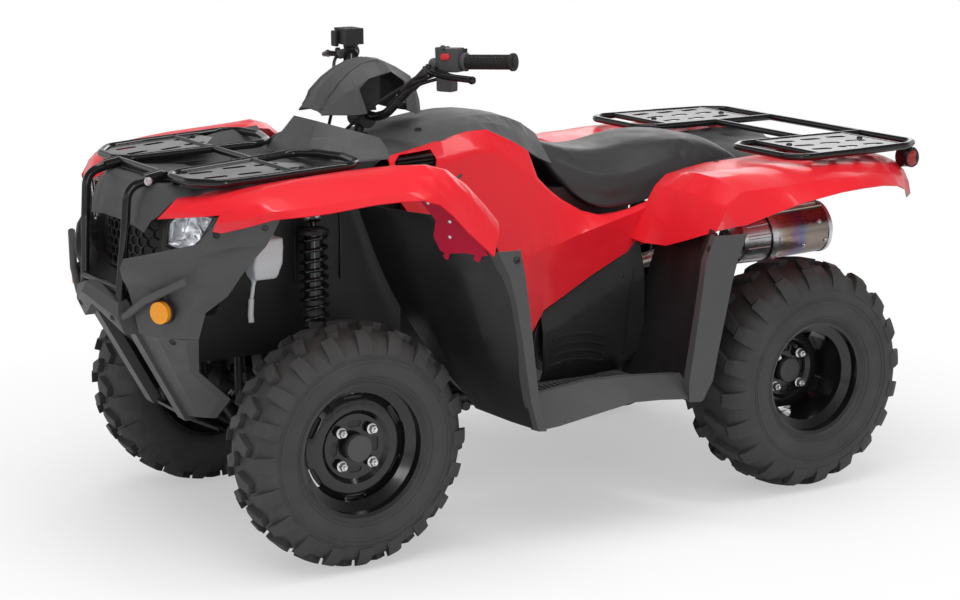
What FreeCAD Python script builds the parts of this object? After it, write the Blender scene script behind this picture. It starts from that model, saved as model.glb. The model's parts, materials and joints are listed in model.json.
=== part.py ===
import FreeCAD
import Part
import os
from math import cos, hypot, pi, radians, sin, tan

# Utility quad bike at full size, in millimetres.
# +X is the rider's left, -Y the front, +Z up. The origin is on the ground under the middle.
# Every paired piece is drawn on the left and mirrored to the right.

# Stance
WHEELBASE = 1267.0
FRONT_AXLE_Y = -610.0
REAR_AXLE_Y = FRONT_AXLE_Y + WHEELBASE
FRONT_TRACK = 814.0
REAR_TRACK = 874.0

# Wheels: 24x8-12 in front, 24x10-11 at the back
FRONT_TYRE_R = 283.0
FRONT_TYRE_W = 197.0
REAR_TYRE_R = 292.0
REAR_TYRE_W = 236.0
FRONT_BEAD_R = 152.4
REAR_BEAD_R = 139.7
LUG_H = 15.0
FRONT_PITCHES = 20
REAR_PITCHES = 20
RIM_LIP_H = 13.5
RIM_WALL = 3.6
RIM_WELL = 22.0
BEAD_W = 22.0
FRONT_DISC_X = 44.0
REAR_DISC_X = -22.0
HUB_PCD = 110.0

# Steering
KINGPIN_X = 345.0
KNUCKLE_HALF_H = 78.0
STEER_ARM = (15.0, 75.0)
TIE_ROD_Z = FRONT_TYRE_R + 9.0
COLUMN_FOOT_Y = -530.0
COLUMN_HEAD = (-345.0, 965.0)
COLUMN_R = 12.0
BAR_R = 11.0
PIN_GAP = 0.1
RUN_GAP = 2.0

# Tubes and sheet
RAIL_X = 115.0
RAIL_R = 14.0
RAIL_Z = 262.0
ARM_EYE_OUT = 24.0
RACK_R = 9.5
RACK_Z = 889.0
PANEL = 4.0
RACK_PLATE = 3.0

FRONT_AXLE = (FRONT_AXLE_Y, FRONT_TYRE_R)
REAR_AXLE = (REAR_AXLE_Y, REAR_TYRE_R)


def vec(p):
    return FreeCAD.Vector(*p)


def wire(points):
    corners = [vec(p) for p in points]
    return Part.makePolygon(corners + [corners[0]])


def slab(points, depth):
    """A flat outline given a thickness along the vector depth."""
    return Part.Face(wire(points)).extrude(vec(depth))


def loft(outlines, ruled=False):
    return Part.makeLoft([wire(o) for o in outlines], True, ruled)


def rod(a, b, r):
    a, b = vec(a), vec(b)
    return Part.makeCylinder(r, (b - a).Length, a, b - a)


def ball(centre, r):
    return Part.makeSphere(r, vec(centre))


def fused(shapes):
    """Shapes welded one after another into one."""
    shapes = list(shapes)
    joined = shapes[0]
    for shape in shapes[1:]:
        joined = joined.fuse(shape)
    return joined


def mirrored(shape):
    return shape.mirror(vec((0, 0, 0)), vec((1, 0, 0)))


def tube(points, r, bend, share=0.45):
    """A round bar along straight runs joined by tangent arcs."""
    p = [vec(q) for q in points]
    edges = []
    start = p[0]
    for before, corner, after in zip(p, p[1:], p[2:]):
        d_in = (corner - before).normalize()
        d_out = (after - corner).normalize()
        turn = d_in.getAngle(d_out)
        cut = min(bend * tan(turn / 2), share * min((corner - before).Length, (after - corner).Length))
        a = corner - d_in * cut
        b = corner + d_out * cut
        rad = cut / tan(turn / 2)
        middle = corner + (d_out - d_in).normalize() * (rad / cos(turn / 2) - rad)
        edges += [Part.LineSegment(start, a).toShape(), Part.Arc(a, middle, b).toShape()]
        start = b
    edges.append(Part.LineSegment(start, p[-1]).toShape())
    profile = Part.Wire(Part.makeCircle(r, p[0], p[1] - p[0]))
    return Part.Wire(edges).makePipeShell([profile], True, False)


def offset_line(points, t):
    """An open line in two dimensions moved t to its right, with mitred corners."""
    normals = []
    for (x0, y0), (x1, y1) in zip(points, points[1:]):
        n = hypot(x1 - x0, y1 - y0)
        normals.append(((y1 - y0) / n, -(x1 - x0) / n))
    moved = []
    for i, (x, y) in enumerate(points):
        a = normals[max(i - 1, 0)]
        b = normals[min(i, len(normals) - 1)]
        k = t / max(1 + a[0] * b[0] + a[1] * b[1], 0.4)
        moved.append((x + (a[0] + b[0]) * k, y + (a[1] + b[1]) * k))
    return moved


def panel(stations, thickness=PANEL, ruled=False):
    """A moulded sheet through stations of (place, outer line); the wall lies to the line's right."""
    outlines = []
    for place, line in stations:
        inner = offset_line(line, thickness)
        outlines.append([place(*q) for q in list(line) + inner[::-1]])
    return loft(outlines, ruled)


def across(y):
    """Places (x, z) in the upright plane across the vehicle at y."""
    return lambda x, z: (x, y, z)


def level(z):
    """Places (x, y) in the level plane at height z."""
    return lambda x, y: (x, y, z)


def fan(axle, angle):
    """Places (x, r) in the plane through an axle line, angle degrees up from the rear."""
    c, s = cos(radians(angle)), sin(radians(angle))
    return lambda x, r: (x, axle[0] + r * c, axle[1] + r * s)


def turned(profile, axle, x=0.0):
    """A profile of (x, r) turned about an axle line."""
    outline = [(x + a, axle[0], axle[1] + r) for a, r in profile]
    return Part.Face(wire(outline)).revolve(vec((0,) + axle), vec((1, 0, 0)), 360)


def both(line):
    """A left half line from the middle outwards, with its mirror image before it."""
    return [(-x, z) for x, z in line[::-1] if x] + line


def trimmed(piece, carriers):
    """The piece cut back to the faces of what it seats on, without loose scraps."""
    for other in carriers:
        if piece.BoundBox.intersect(other.BoundBox):
            piece = piece.cut(other)
    return max(piece.Solids, key=lambda s: s.Volume)


# Wheels


def tyre_section(half, radius, bead, sunk):
    """The tyre's outer line from bead to bead, its tread sunk below the tops of the lugs."""
    wall = bead + 0.45 * (radius - bead)
    line = [(0, radius - sunk), (0.36 * half, radius - 2 - sunk), (0.64 * half, radius - 8 - sunk),
            (0.82 * half, radius - 21 - sunk), (0.94 * half, radius - 44 - 0.6 * sunk), (half, wall),
            (0.97 * half, bead + 26), (0.88 * half, bead + 9), (0.76 * half, bead)]
    return [(-x, r) for x, r in line[:0:-1]] + line


def lug(x, axle, angle, r0, r1, corners):
    """A straight-sided block standing out from the tyre; corners are (x, distance along the tread)."""
    out = vec((0, cos(angle), sin(angle)))
    along = vec((0, -sin(angle), cos(angle)))
    foot = vec((x, *axle)) + out * r0
    points = [foot + vec((a, 0, 0)) + along * s for a, s in corners]
    return Part.Face(Part.makePolygon(points + [points[0]])).extrude(out * (r1 - r0))


def tyre(x, axle, radius, width, bead, pitches, tread):
    """A low-pressure tyre on its bead seats, with the lugs of its tread."""
    half = width / 2
    carcass = turned(tyre_section(half, radius, bead, LUG_H), axle, x)
    envelope = turned(tyre_section(half, radius, bead, 0), axle, x)
    blocks = []
    for i in range(pitches):
        for share, depth, corners in tread:
            angle = 2 * pi * (i + share) / pitches
            points = [(a * half, s) for a, s in corners]
            blocks.append(lug(x, axle, angle, radius - depth, radius + 4, points))
    cut_blocks = envelope.common(Part.makeCompound(blocks))
    return carcass.fuse(cut_blocks.Solids)


def rim(x, axle, width, bead, disc_x):
    """A pressed steel rim: flanges, bead seats, well and dished disc with slots and windows."""
    half = 0.80 * width / 2 + RIM_LIP_H / 2
    well = bead - RIM_WELL
    side = [(half, bead + RIM_LIP_H), (half - 6, bead + RIM_LIP_H - 3), (half - 10, bead),
            (half - 10 - BEAD_W, bead), (half - 22 - BEAD_W, well)]
    line = side + [(-a, r) for a, r in side[::-1]]
    barrel = turned(line + [(a, r) for a, r in offset_line(line, -RIM_WALL)][::-1], axle, 0)
    dish = [(disc_x - 12, well - 2), (disc_x, 0.80 * well), (disc_x, 0.66 * well), (disc_x - 9, 0.58 * well),
            (disc_x - 9, 30)]
    disc = turned(dish + offset_line(dish, 5)[::-1], axle, 0)
    slots = []
    for i in range(6):
        slots.append(oval_cut(axle, disc_x, 0.90 * well, radians(60 * i + 30), 20, 7))
    for i in range(4):
        slots.append(oval_cut(axle, disc_x, HUB_PCD / 2 - 2, radians(90 * i), 9, 8))
    body = fused([barrel, disc]).cut(Part.makeCompound(slots))
    body = body.Solids[0]
    body.translate(vec((x, 0, 0)))
    return body


def oval_cut(axle, x, r, angle, half_length, half_width):
    """A slot through the disc, long around the wheel."""
    c = (x - 30, axle[0] + r * cos(angle), axle[1] + r * sin(angle))
    along = vec((0, -sin(angle), cos(angle)))
    ends = [vec(c) + along * s for s in (-half_length, half_length)]
    out = vec((60, 0, 0))
    slots = [Part.makeCylinder(half_width, 60, e, out) for e in ends]
    across_slot = vec((0, cos(angle), sin(angle))) * half_width
    corners = [ends[0] - across_slot, ends[1] - across_slot, ends[1] + across_slot, ends[0] + across_slot]
    slots.append(Part.Face(Part.makePolygon(corners + [corners[0]])).extrude(out))
    return fused(slots)


def hub(x, axle, disc_x, inner_x, drum_r, spindle):
    """Flange, drum and centre cap with four wheel nuts; drawn with the outside at +X."""
    face = x + disc_x - 9
    back = face - 5
    pieces = [
        rod((inner_x, *axle), (back, *axle), 34),
        rod((back - 6, *axle), (back, *axle), HUB_PCD / 2 + 14),
        rod((back, *axle), (face + 26, *axle), 29.9),
        rod((back - 44, *axle), (back - 8, *axle), drum_r),
        spindle,
    ]
    for i in range(4):
        a = radians(90 * i + 45)
        y, z = axle[0] + HUB_PCD / 2 * cos(a), axle[1] + HUB_PCD / 2 * sin(a)
        pieces.append(rod((face, y, z), (face + 12, y, z), 9))
    return fused(pieces)


# Blocks of one tread pitch: (place in the pitch, depth below the tread's top, corners)
FRONT_TREAD = [
    (0.00, 30, [(-0.06, -20), (0.02, -4), (-0.06, 14), (-0.46, 26), (-0.52, 2)]),
    (0.50, 30, [(0.06, -20), (0.52, 2), (0.46, 26), (0.06, 14), (-0.02, -4)]),
    (0.46, 58, [(-1.02, -19), (-0.60, -14), (-0.60, 14), (-1.02, 19)]),
    (0.96, 58, [(1.02, -19), (1.02, 19), (0.60, 14), (0.60, -14)]),
]
REAR_TREAD = [
    (0.00, 32, [(0.04, -26), (0.60, 6), (0.60, 32), (0.30, 20), (0.04, 2)]),
    (0.50, 32, [(-0.04, -26), (-0.04, 2), (-0.30, 20), (-0.60, 32), (-0.60, 6)]),
    (0.30, 62, [(0.66, -20), (1.02, -24), (1.02, 20), (0.66, 14)]),
    (0.80, 62, [(-0.66, -20), (-0.66, 14), (-1.02, 20), (-1.02, -24)]),
]


def front_wheel():
    """Tyre, rim and hub of the left front wheel."""
    x = FRONT_TRACK / 2
    spindle = rod((KINGPIN_X - 20, *FRONT_AXLE), (x, *FRONT_AXLE), 15)
    middle = hub(x, FRONT_AXLE, FRONT_DISC_X, KINGPIN_X + 17 + RUN_GAP, 92, spindle)
    steel = rim(x, FRONT_AXLE, FRONT_TYRE_W, FRONT_BEAD_R, FRONT_DISC_X)
    rubber = tyre(x, FRONT_AXLE, FRONT_TYRE_R, FRONT_TYRE_W, FRONT_BEAD_R, FRONT_PITCHES, FRONT_TREAD)
    return {"tyre": trimmed(rubber, [steel]), "rim": trimmed(steel, [middle]), "hub": middle}


def rear_wheels():
    """Both rear tyres, both rims, and the one axle that turns them."""
    x = REAR_TRACK / 2
    t = tyre(x, REAR_AXLE, REAR_TYRE_R, REAR_TYRE_W, REAR_BEAD_R, REAR_PITCHES, REAR_TREAD)
    r = rim(x, REAR_AXLE, REAR_TYRE_W, REAR_BEAD_R, REAR_DISC_X)
    face = x + REAR_DISC_X - 9
    shaft = rod((0, *REAR_AXLE), (face - 5, *REAR_AXLE), 15)
    flange = rod((face - 11, *REAR_AXLE), (face - 5, *REAR_AXLE), HUB_PCD / 2 + 14)
    boss = rod((face - 70, *REAR_AXLE), (face - 5, *REAR_AXLE), 30)
    cap = rod((face - 5, *REAR_AXLE), (face + 24, *REAR_AXLE), 29.9)
    pieces = [shaft, flange, boss, cap]
    for i in range(4):
        a = radians(90 * i + 45)
        y, z = REAR_AXLE[0] + HUB_PCD / 2 * cos(a), REAR_AXLE[1] + HUB_PCD / 2 * sin(a)
        pieces.append(rod((face, y, z), (face + 12, y, z), 9))
    half = fused(pieces)
    t = trimmed(t, [r])
    r = trimmed(r, [half])
    axle = fused([half, mirrored(half)])
    return {"tyres_rear": [t, mirrored(t)], "rims_rear": [r, mirrored(r)], "rear_axle": [axle]}


# Steering


def column_axis():
    """Foot point and unit direction of the steering column."""
    head_y, head_z = COLUMN_HEAD
    foot_z = TIE_ROD_Z + 34
    direction = vec((0, head_y - COLUMN_FOOT_Y, head_z - foot_z)).normalize()
    return vec((0, COLUMN_FOOT_Y, foot_z)), direction


def pitman_pin(sign):
    """Where a tie rod's eye sits under the pitman arm."""
    foot, d = column_axis()
    back = vec((0, d.z, -d.y))
    return foot + back * STEER_ARM[1] + vec((sign * STEER_ARM[0], 0, 0))


def steering_column():
    foot, d = column_axis()
    head = vec((0, *COLUMN_HEAD))
    back = vec((0, d.z, -d.y))
    shaft = Part.makeCylinder(COLUMN_R, (head - foot).Length + 6, foot, d)
    side = vec((1, 0, 0))
    corners = [foot - side * 20 - back * 18, foot + side * 20 - back * 18,
               foot + side * 30 + back * 90, foot - side * 30 + back * 90]
    plate = Part.Face(Part.makePolygon(corners + [corners[0]])).extrude(d * 9)
    studs = []
    for sign in (1, -1):
        top = pitman_pin(sign)
        studs.append(Part.makeCylinder(5, 30, top - d * 30, d))
    clamp = rod((-34, COLUMN_HEAD[0], COLUMN_HEAD[1]), (34, COLUMN_HEAD[0], COLUMN_HEAD[1]), 22)
    return fused([shaft, plate, clamp] + studs)


BAR_POINTS = [(0, -345, 975), (70, -343, 975), (105, -334, 985), (195, -268, 1098), (250, -240, 1117),
              (396, -160, 1125)]


def handlebar():
    """The bent tubular bar, clamped at the column's head."""
    half = BAR_POINTS[1:]
    full = [(-x, y, z) for x, y, z in half[::-1]] + half
    return tube(full, BAR_R, 45)


def bar_point(t):
    """A point on the grip end of the left bar, t along its last run."""
    a, b = vec(BAR_POINTS[-2]), vec(BAR_POINTS[-1])
    return a + (b - a) * t, (b - a).normalize()


def grip():
    a, d = bar_point(0.24)
    b = bar_point(1.0)[0] + d * 6
    body = Part.makeCylinder(16, (b - a).Length, a, d)
    flange = Part.makeCylinder(21, 6, b - d * 6, d)
    ring_in = Part.makeCylinder(20, 5, a, d)
    return fused([body, flange, ring_in])


def switch_box():
    a, d = bar_point(0.0)
    b = bar_point(0.23)[0]
    core = Part.makeCylinder(20, (b - a).Length, a, d)
    block = slab([(225, -262, 1094), (275, -234, 1098), (282, -212, 1098), (232, -240, 1094)], (0, 0, 52))
    return fused([core, block])


def brake_reservoir():
    """The box of the front brake's master cylinder, on the right bar."""
    mid = (-215, -262, 1118)
    box = slab([(-250, -285, 1122), (-190, -285, 1122), (-190, -235, 1122), (-250, -235, 1122)], (0, 0, 40))
    return fused([box, rod((-190, -271, 1095), (-262, -233, 1119), 18), ball(mid, 16)])


def lever():
    """A brake lever ahead of the left grip, on its perch."""
    return tube([(224, -262, 1100), (262, -277, 1096), (310, -268, 1090), (356, -240, 1087)], 5.5, 40)


def handlebar_cowl():
    """The domed cover over the bar's middle, cut open where the bar comes out at each side."""
    stations = [
        (across(-484), both([(0, 1000), (38, 998), (56, 994), (62, 989)])),
        (across(-460), both([(0, 1042), (50, 1034), (64, 1010), (70, 987)])),
        (across(-430), both([(0, 1072), (46, 1064), (72, 1035), (84, 986)])),
        (across(-400), both([(0, 1092), (42, 1085), (80, 1050), (93, 986)])),
        (across(-366), both([(0, 1107), (38, 1101), (84, 1071), (97, 990)])),
        (across(-330), both([(0, 1113), (36, 1108), (82, 1082), (99, 995)])),
        (across(-300), both([(0, 1108), (36, 1103), (76, 1080), (97, 995)])),
        (across(-268), both([(0, 1093), (36, 1088), (70, 1060), (90, 988)])),
        (across(-228), both([(0, 1068), (36, 1063), (56, 1038), (70, 975)])),
        (across(-208), both([(0, 1042), (24, 1037), (36, 1016), (44, 972)])),
        (across(-194), both([(0, 1012), (14, 1009), (20, 998), (25, 970)])),
    ]
    shell = panel(stations, ruled=True)
    gap = [(-394, 1046), (-368, 1070), (-303, 1082), (-264, 1056), (-268, 960), (-372, 960)]
    sides = [slab([(s * 46, y, z) for y, z in gap], (s * 90, 0, 0)) for s in (1, -1)]
    return shell.cut(Part.makeCompound(sides)).Solids[0]


def control_cables():
    """Cables from both bar ends, clipped to the bar and led down by the column."""
    left = [(228, -268, 1086), (150, -318, 1050), (90, -372, 1000), (40, -416, 940), (18, -425, 905)]
    right = [(-x, y, z) for x, y, z in left]
    return [tube(left, 4, 30), tube(right, 4, 30)]


def knuckle():
    """Upright with ball studs, hub bore and steering arm, on the left."""
    y, z = FRONT_AXLE
    arm_end = (KINGPIN_X + STEER_ARM[0], y + STEER_ARM[1], TIE_ROD_Z)
    body = [
        rod((KINGPIN_X, y, z - KNUCKLE_HALF_H), (KINGPIN_X, y, z + KNUCKLE_HALF_H), 15),
        rod((KINGPIN_X - 18, y, z), (KINGPIN_X + 17, y, z), 34),
        rod((KINGPIN_X, y + 20, z), (KINGPIN_X + 4, y + 60, TIE_ROD_Z - 14), 9),
        rod((arm_end[0], arm_end[1], TIE_ROD_Z - 22), (arm_end[0], arm_end[1], TIE_ROD_Z - 8), 11),
        rod((KINGPIN_X + 4, y + 50, TIE_ROD_Z - 14), (arm_end[0], arm_end[1], TIE_ROD_Z - 14), 7),
        rod((arm_end[0], arm_end[1], TIE_ROD_Z - 10), (arm_end[0], arm_end[1], TIE_ROD_Z + 12), 5),
        rod((KINGPIN_X, y, z + KNUCKLE_HALF_H - 1), (KINGPIN_X, y, z + KNUCKLE_HALF_H + 20), 8),
        rod((KINGPIN_X, y, z - KNUCKLE_HALF_H - 20), (KINGPIN_X, y, z - KNUCKLE_HALF_H + 1), 8),
    ]
    return fused(body).cut(rod((KINGPIN_X - 30, y, z), (KINGPIN_X + 30, y, z), 15 + PIN_GAP)).Solids[0]


def tie_rod():
    """From the knuckle's steering arm to the pitman arm, on the left."""
    y = FRONT_AXLE_Y + STEER_ARM[1]
    outer = (KINGPIN_X + STEER_ARM[0], y, TIE_ROD_Z)
    pin = pitman_pin(1)
    lean = column_axis()[1]
    inner = (pin.x, pin.y - (pin.z - TIE_ROD_Z) * lean.y / lean.z, TIE_ROD_Z)
    bar = rod(outer, inner, 7)
    eyes = [rod((q[0], q[1], q[2] - 5), (q[0], q[1], q[2] + 5), 12) for q in (outer, inner)]
    bores = [rod((q[0], q[1], q[2] - 20), (q[0], q[1], q[2] + 20), r)
             for q, r in ((outer, 5 + PIN_GAP), (inner, 8.5))]
    return fused([bar] + eyes).cut(Part.makeCompound(bores)).Solids[0]


# Frame and running gear


def frame_tubes():
    """Left-hand tubes, then the cross members, as one welded frame."""
    x = RAIL_X
    left = [
        tube([(x, -780, 330), (x, -735, RAIL_Z), (x, 330, RAIL_Z), (x + 10, 470, 430), (x + 10, 560, 655)],
             RAIL_R, 90),
        tube([(x, -738, RAIL_Z), (x, -742, 560), (x, -830, 700), (x + 10, -930, 865)], RAIL_R - 1, 120),
        tube([(x, -420, RAIL_Z), (x - 15, -440, 700), (x - 25, -300, 840), (x - 25, 60, 770),
              (x - 5, 240, 672), (x - 5, 560, 690), (x + 15, 960, 790)], RAIL_R - 1, 90),
        rod((x, -760, 640), (x - 17, -438, 640), 12),
        rod((x + 12, -510, 396), (x - 4, -425, 396), 9),
        rod((x - 4, -600, 640), (x - 4, -600, 762), 12),
        rod((x - 4, -600, 762), (225, -595, 792), 12),
        rod((x, -200, RAIL_Z), (250, -200, RAIL_Z + 14), 11),
        rod((x, 190, RAIL_Z), (250, 190, RAIL_Z + 14), 11),
    ]
    cross = [
        rod((-x, -735, RAIL_Z), (x, -735, RAIL_Z), 12),
        rod((-x, -300, RAIL_Z), (x, -300, RAIL_Z), 12),
        rod((-x, 330, RAIL_Z), (x, 330, RAIL_Z), 12),
        rod((-x + 25, -300, 838), (x - 25, -300, 838), 12),
        rod((-x - 10, 560, 655), (x + 10, 560, 655), 12),
        rod((-x - 15, 955, 789), (x + 15, 955, 789), 12),
        rod((-x, -742, 560), (x, -742, 560), 12),
    ]
    return fused(left + [mirrored(s) for s in left] + cross)


def a_arm(outer_z, inner_z, inner_y):
    """A wishbone: an eye round the knuckle's stud and two legs to the frame."""
    y = FRONT_AXLE_Y
    eye = (KINGPIN_X, y, outer_z)
    pieces = [rod((eye[0], y, outer_z - 7), (eye[0], y, outer_z + 7), 17)]
    for s in (-1, 1):
        pivot = (RAIL_X + ARM_EYE_OUT, y + s * inner_y, inner_z)
        pieces.append(tube([(eye[0] - 8, y + s * 3, outer_z), (eye[0] - 40, y + s * 18, outer_z),
                            (RAIL_X + 50, y + s * inner_y, inner_z), pivot], 10, 60))
        pieces.append(rod((pivot[0], pivot[1] - 18, inner_z), (pivot[0], pivot[1] + 18, inner_z), 14))
    body = fused(pieces)
    return body.cut(rod((eye[0], y, outer_z - 20), (eye[0], y, outer_z + 20), 8 + PIN_GAP)).Solids[0]


SHOCK_TOP = (225, -595, 780)
SHOCK_FOOT = (268, -616, 392)


def front_shock():
    """A spring over its damper between the upper wishbone and the frame."""
    top, foot = vec(SHOCK_TOP), vec(SHOCK_FOOT)
    d = (top - foot).normalize()
    length = (top - foot).Length
    pieces = [Part.makeCylinder(7, length, foot, d), Part.makeCylinder(22, 90, foot + d * 22, d),
              Part.makeCylinder(27, 6, foot + d * 112, d), Part.makeCylinder(27, 6, top - d * 40, d)]
    pieces.append(Part.makeCylinder(24, length - 150, foot + d * 114, d))
    pieces.append(rod((top.x, top.y - 14, top.z), (top.x, top.y + 14, top.z), 15))
    pieces.append(rod((foot.x, foot.y - 26, foot.z), (foot.x, foot.y + 26, foot.z), 12))
    return fused(pieces)


def front_differential():
    """Gear case between the front wheels with the drive shafts and their boots."""
    y, z = FRONT_AXLE
    case = [ball((0, y, z + 8), 45), rod((-60, y, z), (60, y, z), 36)]
    case.append(rod((0, y + 30, z), (0, y + 120, z), 24))
    shafts = []
    for s in (1, -1):
        shafts.append(rod((s * 40, y, z), (s * (KINGPIN_X - 48), y, z), 11))
        shafts.append(Part.makeCone(30, 18, 60, vec((s * 58, y, z)), vec((s, 0, 0))))
        shafts.append(Part.makeCone(18, 30, 46, vec((s * (KINGPIN_X - 94), y, z)), vec((s, 0, 0))))
    return fused(case + shafts)


def swingarm():
    """Rear axle housing on its trailing fork, with the gear case on the shaft side."""
    y, z = REAR_AXLE
    reach = REAR_TRACK / 2 + REAR_DISC_X - 84
    pieces = [rod((-reach, y, z), (reach, y, z), 34), rod((4, y, z), (84, y, z), 76)]
    for s in (1, -1):
        fork = [(s * 60, 372, 330), (s * 70, 460, 326), (s * 150, y - 80, z + 6), (s * 150, y - 4, z)]
        pieces.append(tube(fork, 20, 80))
        pieces.append(rod((s * 40, 372, 330), (s * (RAIL_X - 18), 372, 330), 18))
    pieces.append(rod((0, 500, 318), (0, 500, 350), 16))
    pieces.append(rod((-110, 500, 322), (110, 500, 322), 14))
    body = fused(pieces)
    return body.cut(rod((-reach - 5, y, z), (reach + 5, y, z), 15 + PIN_GAP)).Solids[0]


def rear_shock():
    foot, top = vec((0, 500, 345)), vec((0, 520, 655))
    d = (top - foot).normalize()
    pieces = [Part.makeCylinder(8, 310, foot, d), Part.makeCylinder(34, 200, foot + d * 40, d)]
    pieces.append(rod((-16, 500, 345), (16, 500, 345), 15))
    pieces.append(rod((-18, 540, 655), (18, 540, 655), 10))
    pieces.append(rod((0, 518, 650), (0, 545, 655), 10))
    return fused(pieces)


def engine():
    """Plain block: crankcase with side cases, and the cylinder leaning forward."""
    case = slab([(-150, -190, 320), (-150, -150, 282), (-150, 200, 282), (-150, 250, 340), (-150, 250, 440),
                 (-150, 180, 520), (-150, -60, 540), (-150, -180, 470)], (300, 0, 0))
    sides = [rod((-178, 120, 390), (178, 120, 390), 92), rod((-172, -60, 400), (172, -60, 400), 78)]
    cylinder = loft([[(-78, -120, 500), (78, -120, 500), (78, 60, 500), (-78, 60, 500)],
                     [(-74, -165, 700), (74, -165, 700), (74, 0, 700), (-74, 0, 700)]])
    head = slab([(-84, -178, 690), (84, -178, 690), (84, 8, 690), (-84, 8, 690)], (0, 0, 62))
    return fused([case, cylinder, head] + sides)


def exhaust_pipe():
    run = [(60, -40, 660), (150, 20, 660), (176, 120, 590), (180, 330, 560), (196, 480, 590)]
    return tube(run + [(236, 592, 604)], 19, 60)


MUFFLER_AXIS = ((236, 590, 604), (254, 890, 621))


def muffler():
    """Canister behind its ribbed heat shield, with the clamp between them and a small tail pipe."""
    a, b = vec(MUFFLER_AXIS[0]), vec(MUFFLER_AXIS[1])
    d = (b - a).normalize()
    length = (b - a).Length
    pieces = [
        Part.makeCone(34, 57, 24, a, d),
        Part.makeCylinder(57, 84, a + d * 22, d),
        Part.makeCylinder(70, 12, a + d * 104, d),
        Part.makeCylinder(66, length - 124, a + d * 114, d),
        Part.makeCone(66, 54, 10, b - d * 10, d),
        Part.makeCylinder(16, 24, b - d * 4, d),
    ]
    pieces += [Part.makeCylinder(60, 6, a + d * s, d) for s in (32, 52, 72, 92)]
    return fused(pieces)


# Bodywork


def front_fender():
    """Left front fender: eyebrow over the lamp, wing over the wheel, then down to the guard's strip."""
    f = FRONT_AXLE
    stations = [
        (fan(f, 125.4), [(190, 652), (195, 650), (200, 646), (206, 640), (212, 634), (216, 626)]),
        (fan(f, 123.5), [(196, 658), (206, 656), (222, 652), (240, 645), (258, 637), (264, 626)]),
        (fan(f, 120), [(206, 654), (240, 654), (290, 648), (344, 638), (394, 620), (404, 594)]),
        (fan(f, 116), [(240, 640), (310, 646), (372, 645), (425, 632), (462, 612), (470, 596)]),
        (fan(f, 112), [(280, 634), (350, 640), (410, 642), (462, 630), (508, 614), (517, 598)]),
        (fan(f, 107), [(310, 624), (368, 632), (420, 636), (475, 622), (535, 602), (547, 586)]),
        (fan(f, 101), [(330, 616), (375, 624), (424, 628), (478, 612), (543, 590), (555, 574)]),
        (fan(f, 95), [(340, 612), (380, 620), (428, 625), (480, 610), (545, 587), (557, 571)]),
        (fan(f, 89), [(345, 615), (382, 622), (432, 626), (484, 612), (547, 589), (558, 573)]),
        (fan(f, 83), [(352, 622), (390, 630), (436, 634), (488, 619), (549, 595), (560, 578)]),
        (fan(f, 78), [(372, 632), (402, 642), (444, 646), (493, 630), (550, 603), (562, 584)]),
        (fan(f, 74), [(400, 642), (426, 654), (460, 659), (502, 641), (552, 601), (564, 581)]),
        (fan(f, 70), [(428, 648), (450, 660), (478, 660), (514, 640), (554, 584), (566, 564)]),
        (fan(f, 65), [(456, 636), (474, 647), (498, 640), (526, 618), (558, 561), (570, 541)]),
        (fan(f, 60), [(482, 614), (498, 622), (518, 612), (540, 592), (562, 548), (574, 528)]),
        (fan(f, 56), [(504, 598), (516, 602), (532, 592), (550, 574), (566, 540), (578, 520)]),
    ]
    outline = [(-800, 720), (-800, 881), (-653, 881), (-727, 806), (-573, 836), (-591, 797), (-600, 720)]
    corners = [(0.515 * s + 471, 0.857 * s - 283, z) for s, z in outline]
    return panel(stations, ruled=True).cut(slab(corners, (257, -155, 0))).Solids[0]


def nose_panel():
    """The dark nose over the grille and the deck under the front rack."""
    stations = [
        (across(-986), both([(0, 782), (90, 780), (160, 772)])),
        (across(-976), both([(0, 828), (110, 826), (178, 800)])),
        (across(-962), both([(0, 870), (120, 866), (198, 814)])),
        (across(-940), both([(0, 878), (150, 874), (215, 842)])),
        (across(-900), both([(0, 872), (220, 868), (262, 856)])),
        (across(-800), both([(0, 862), (240, 862), (292, 874)])),
        (across(-690), both([(0, 862), (240, 862), (296, 894)])),
        (across(-590), both([(0, 872), (240, 872), (306, 912)])),
        (across(-470), both([(0, 880), (250, 880), (330, 918)])),
    ]
    return panel(stations, ruled=True)


def column_shroud():
    """The cover ahead of the bars: a flat sloping front, low sides, open above and behind."""
    stations = [
        (level(893), [(206, -380), (204, -470), (176, -520), (102, -553), (0, -556)]),
        (level(915), [(184, -376), (170, -470), (140, -514), (90, -539), (0, -542)]),
        (level(940), [(142, -376), (128, -440), (102, -490), (76, -521), (0, -524)]),
        (level(980), [(86, -376), (76, -440), (68, -470), (60, -493), (0, -496)]),
    ]
    lines = [(place, line + [(-x, y) for x, y in line[-2::-1]]) for place, line in stations]
    above = slab([(-220, -520, 982), (-220, -340, 925), (-220, -340, 1010), (-220, -520, 1010)], (440, 0, 0))
    return panel(lines, ruled=True).cut(above).Solids[0]


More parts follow.
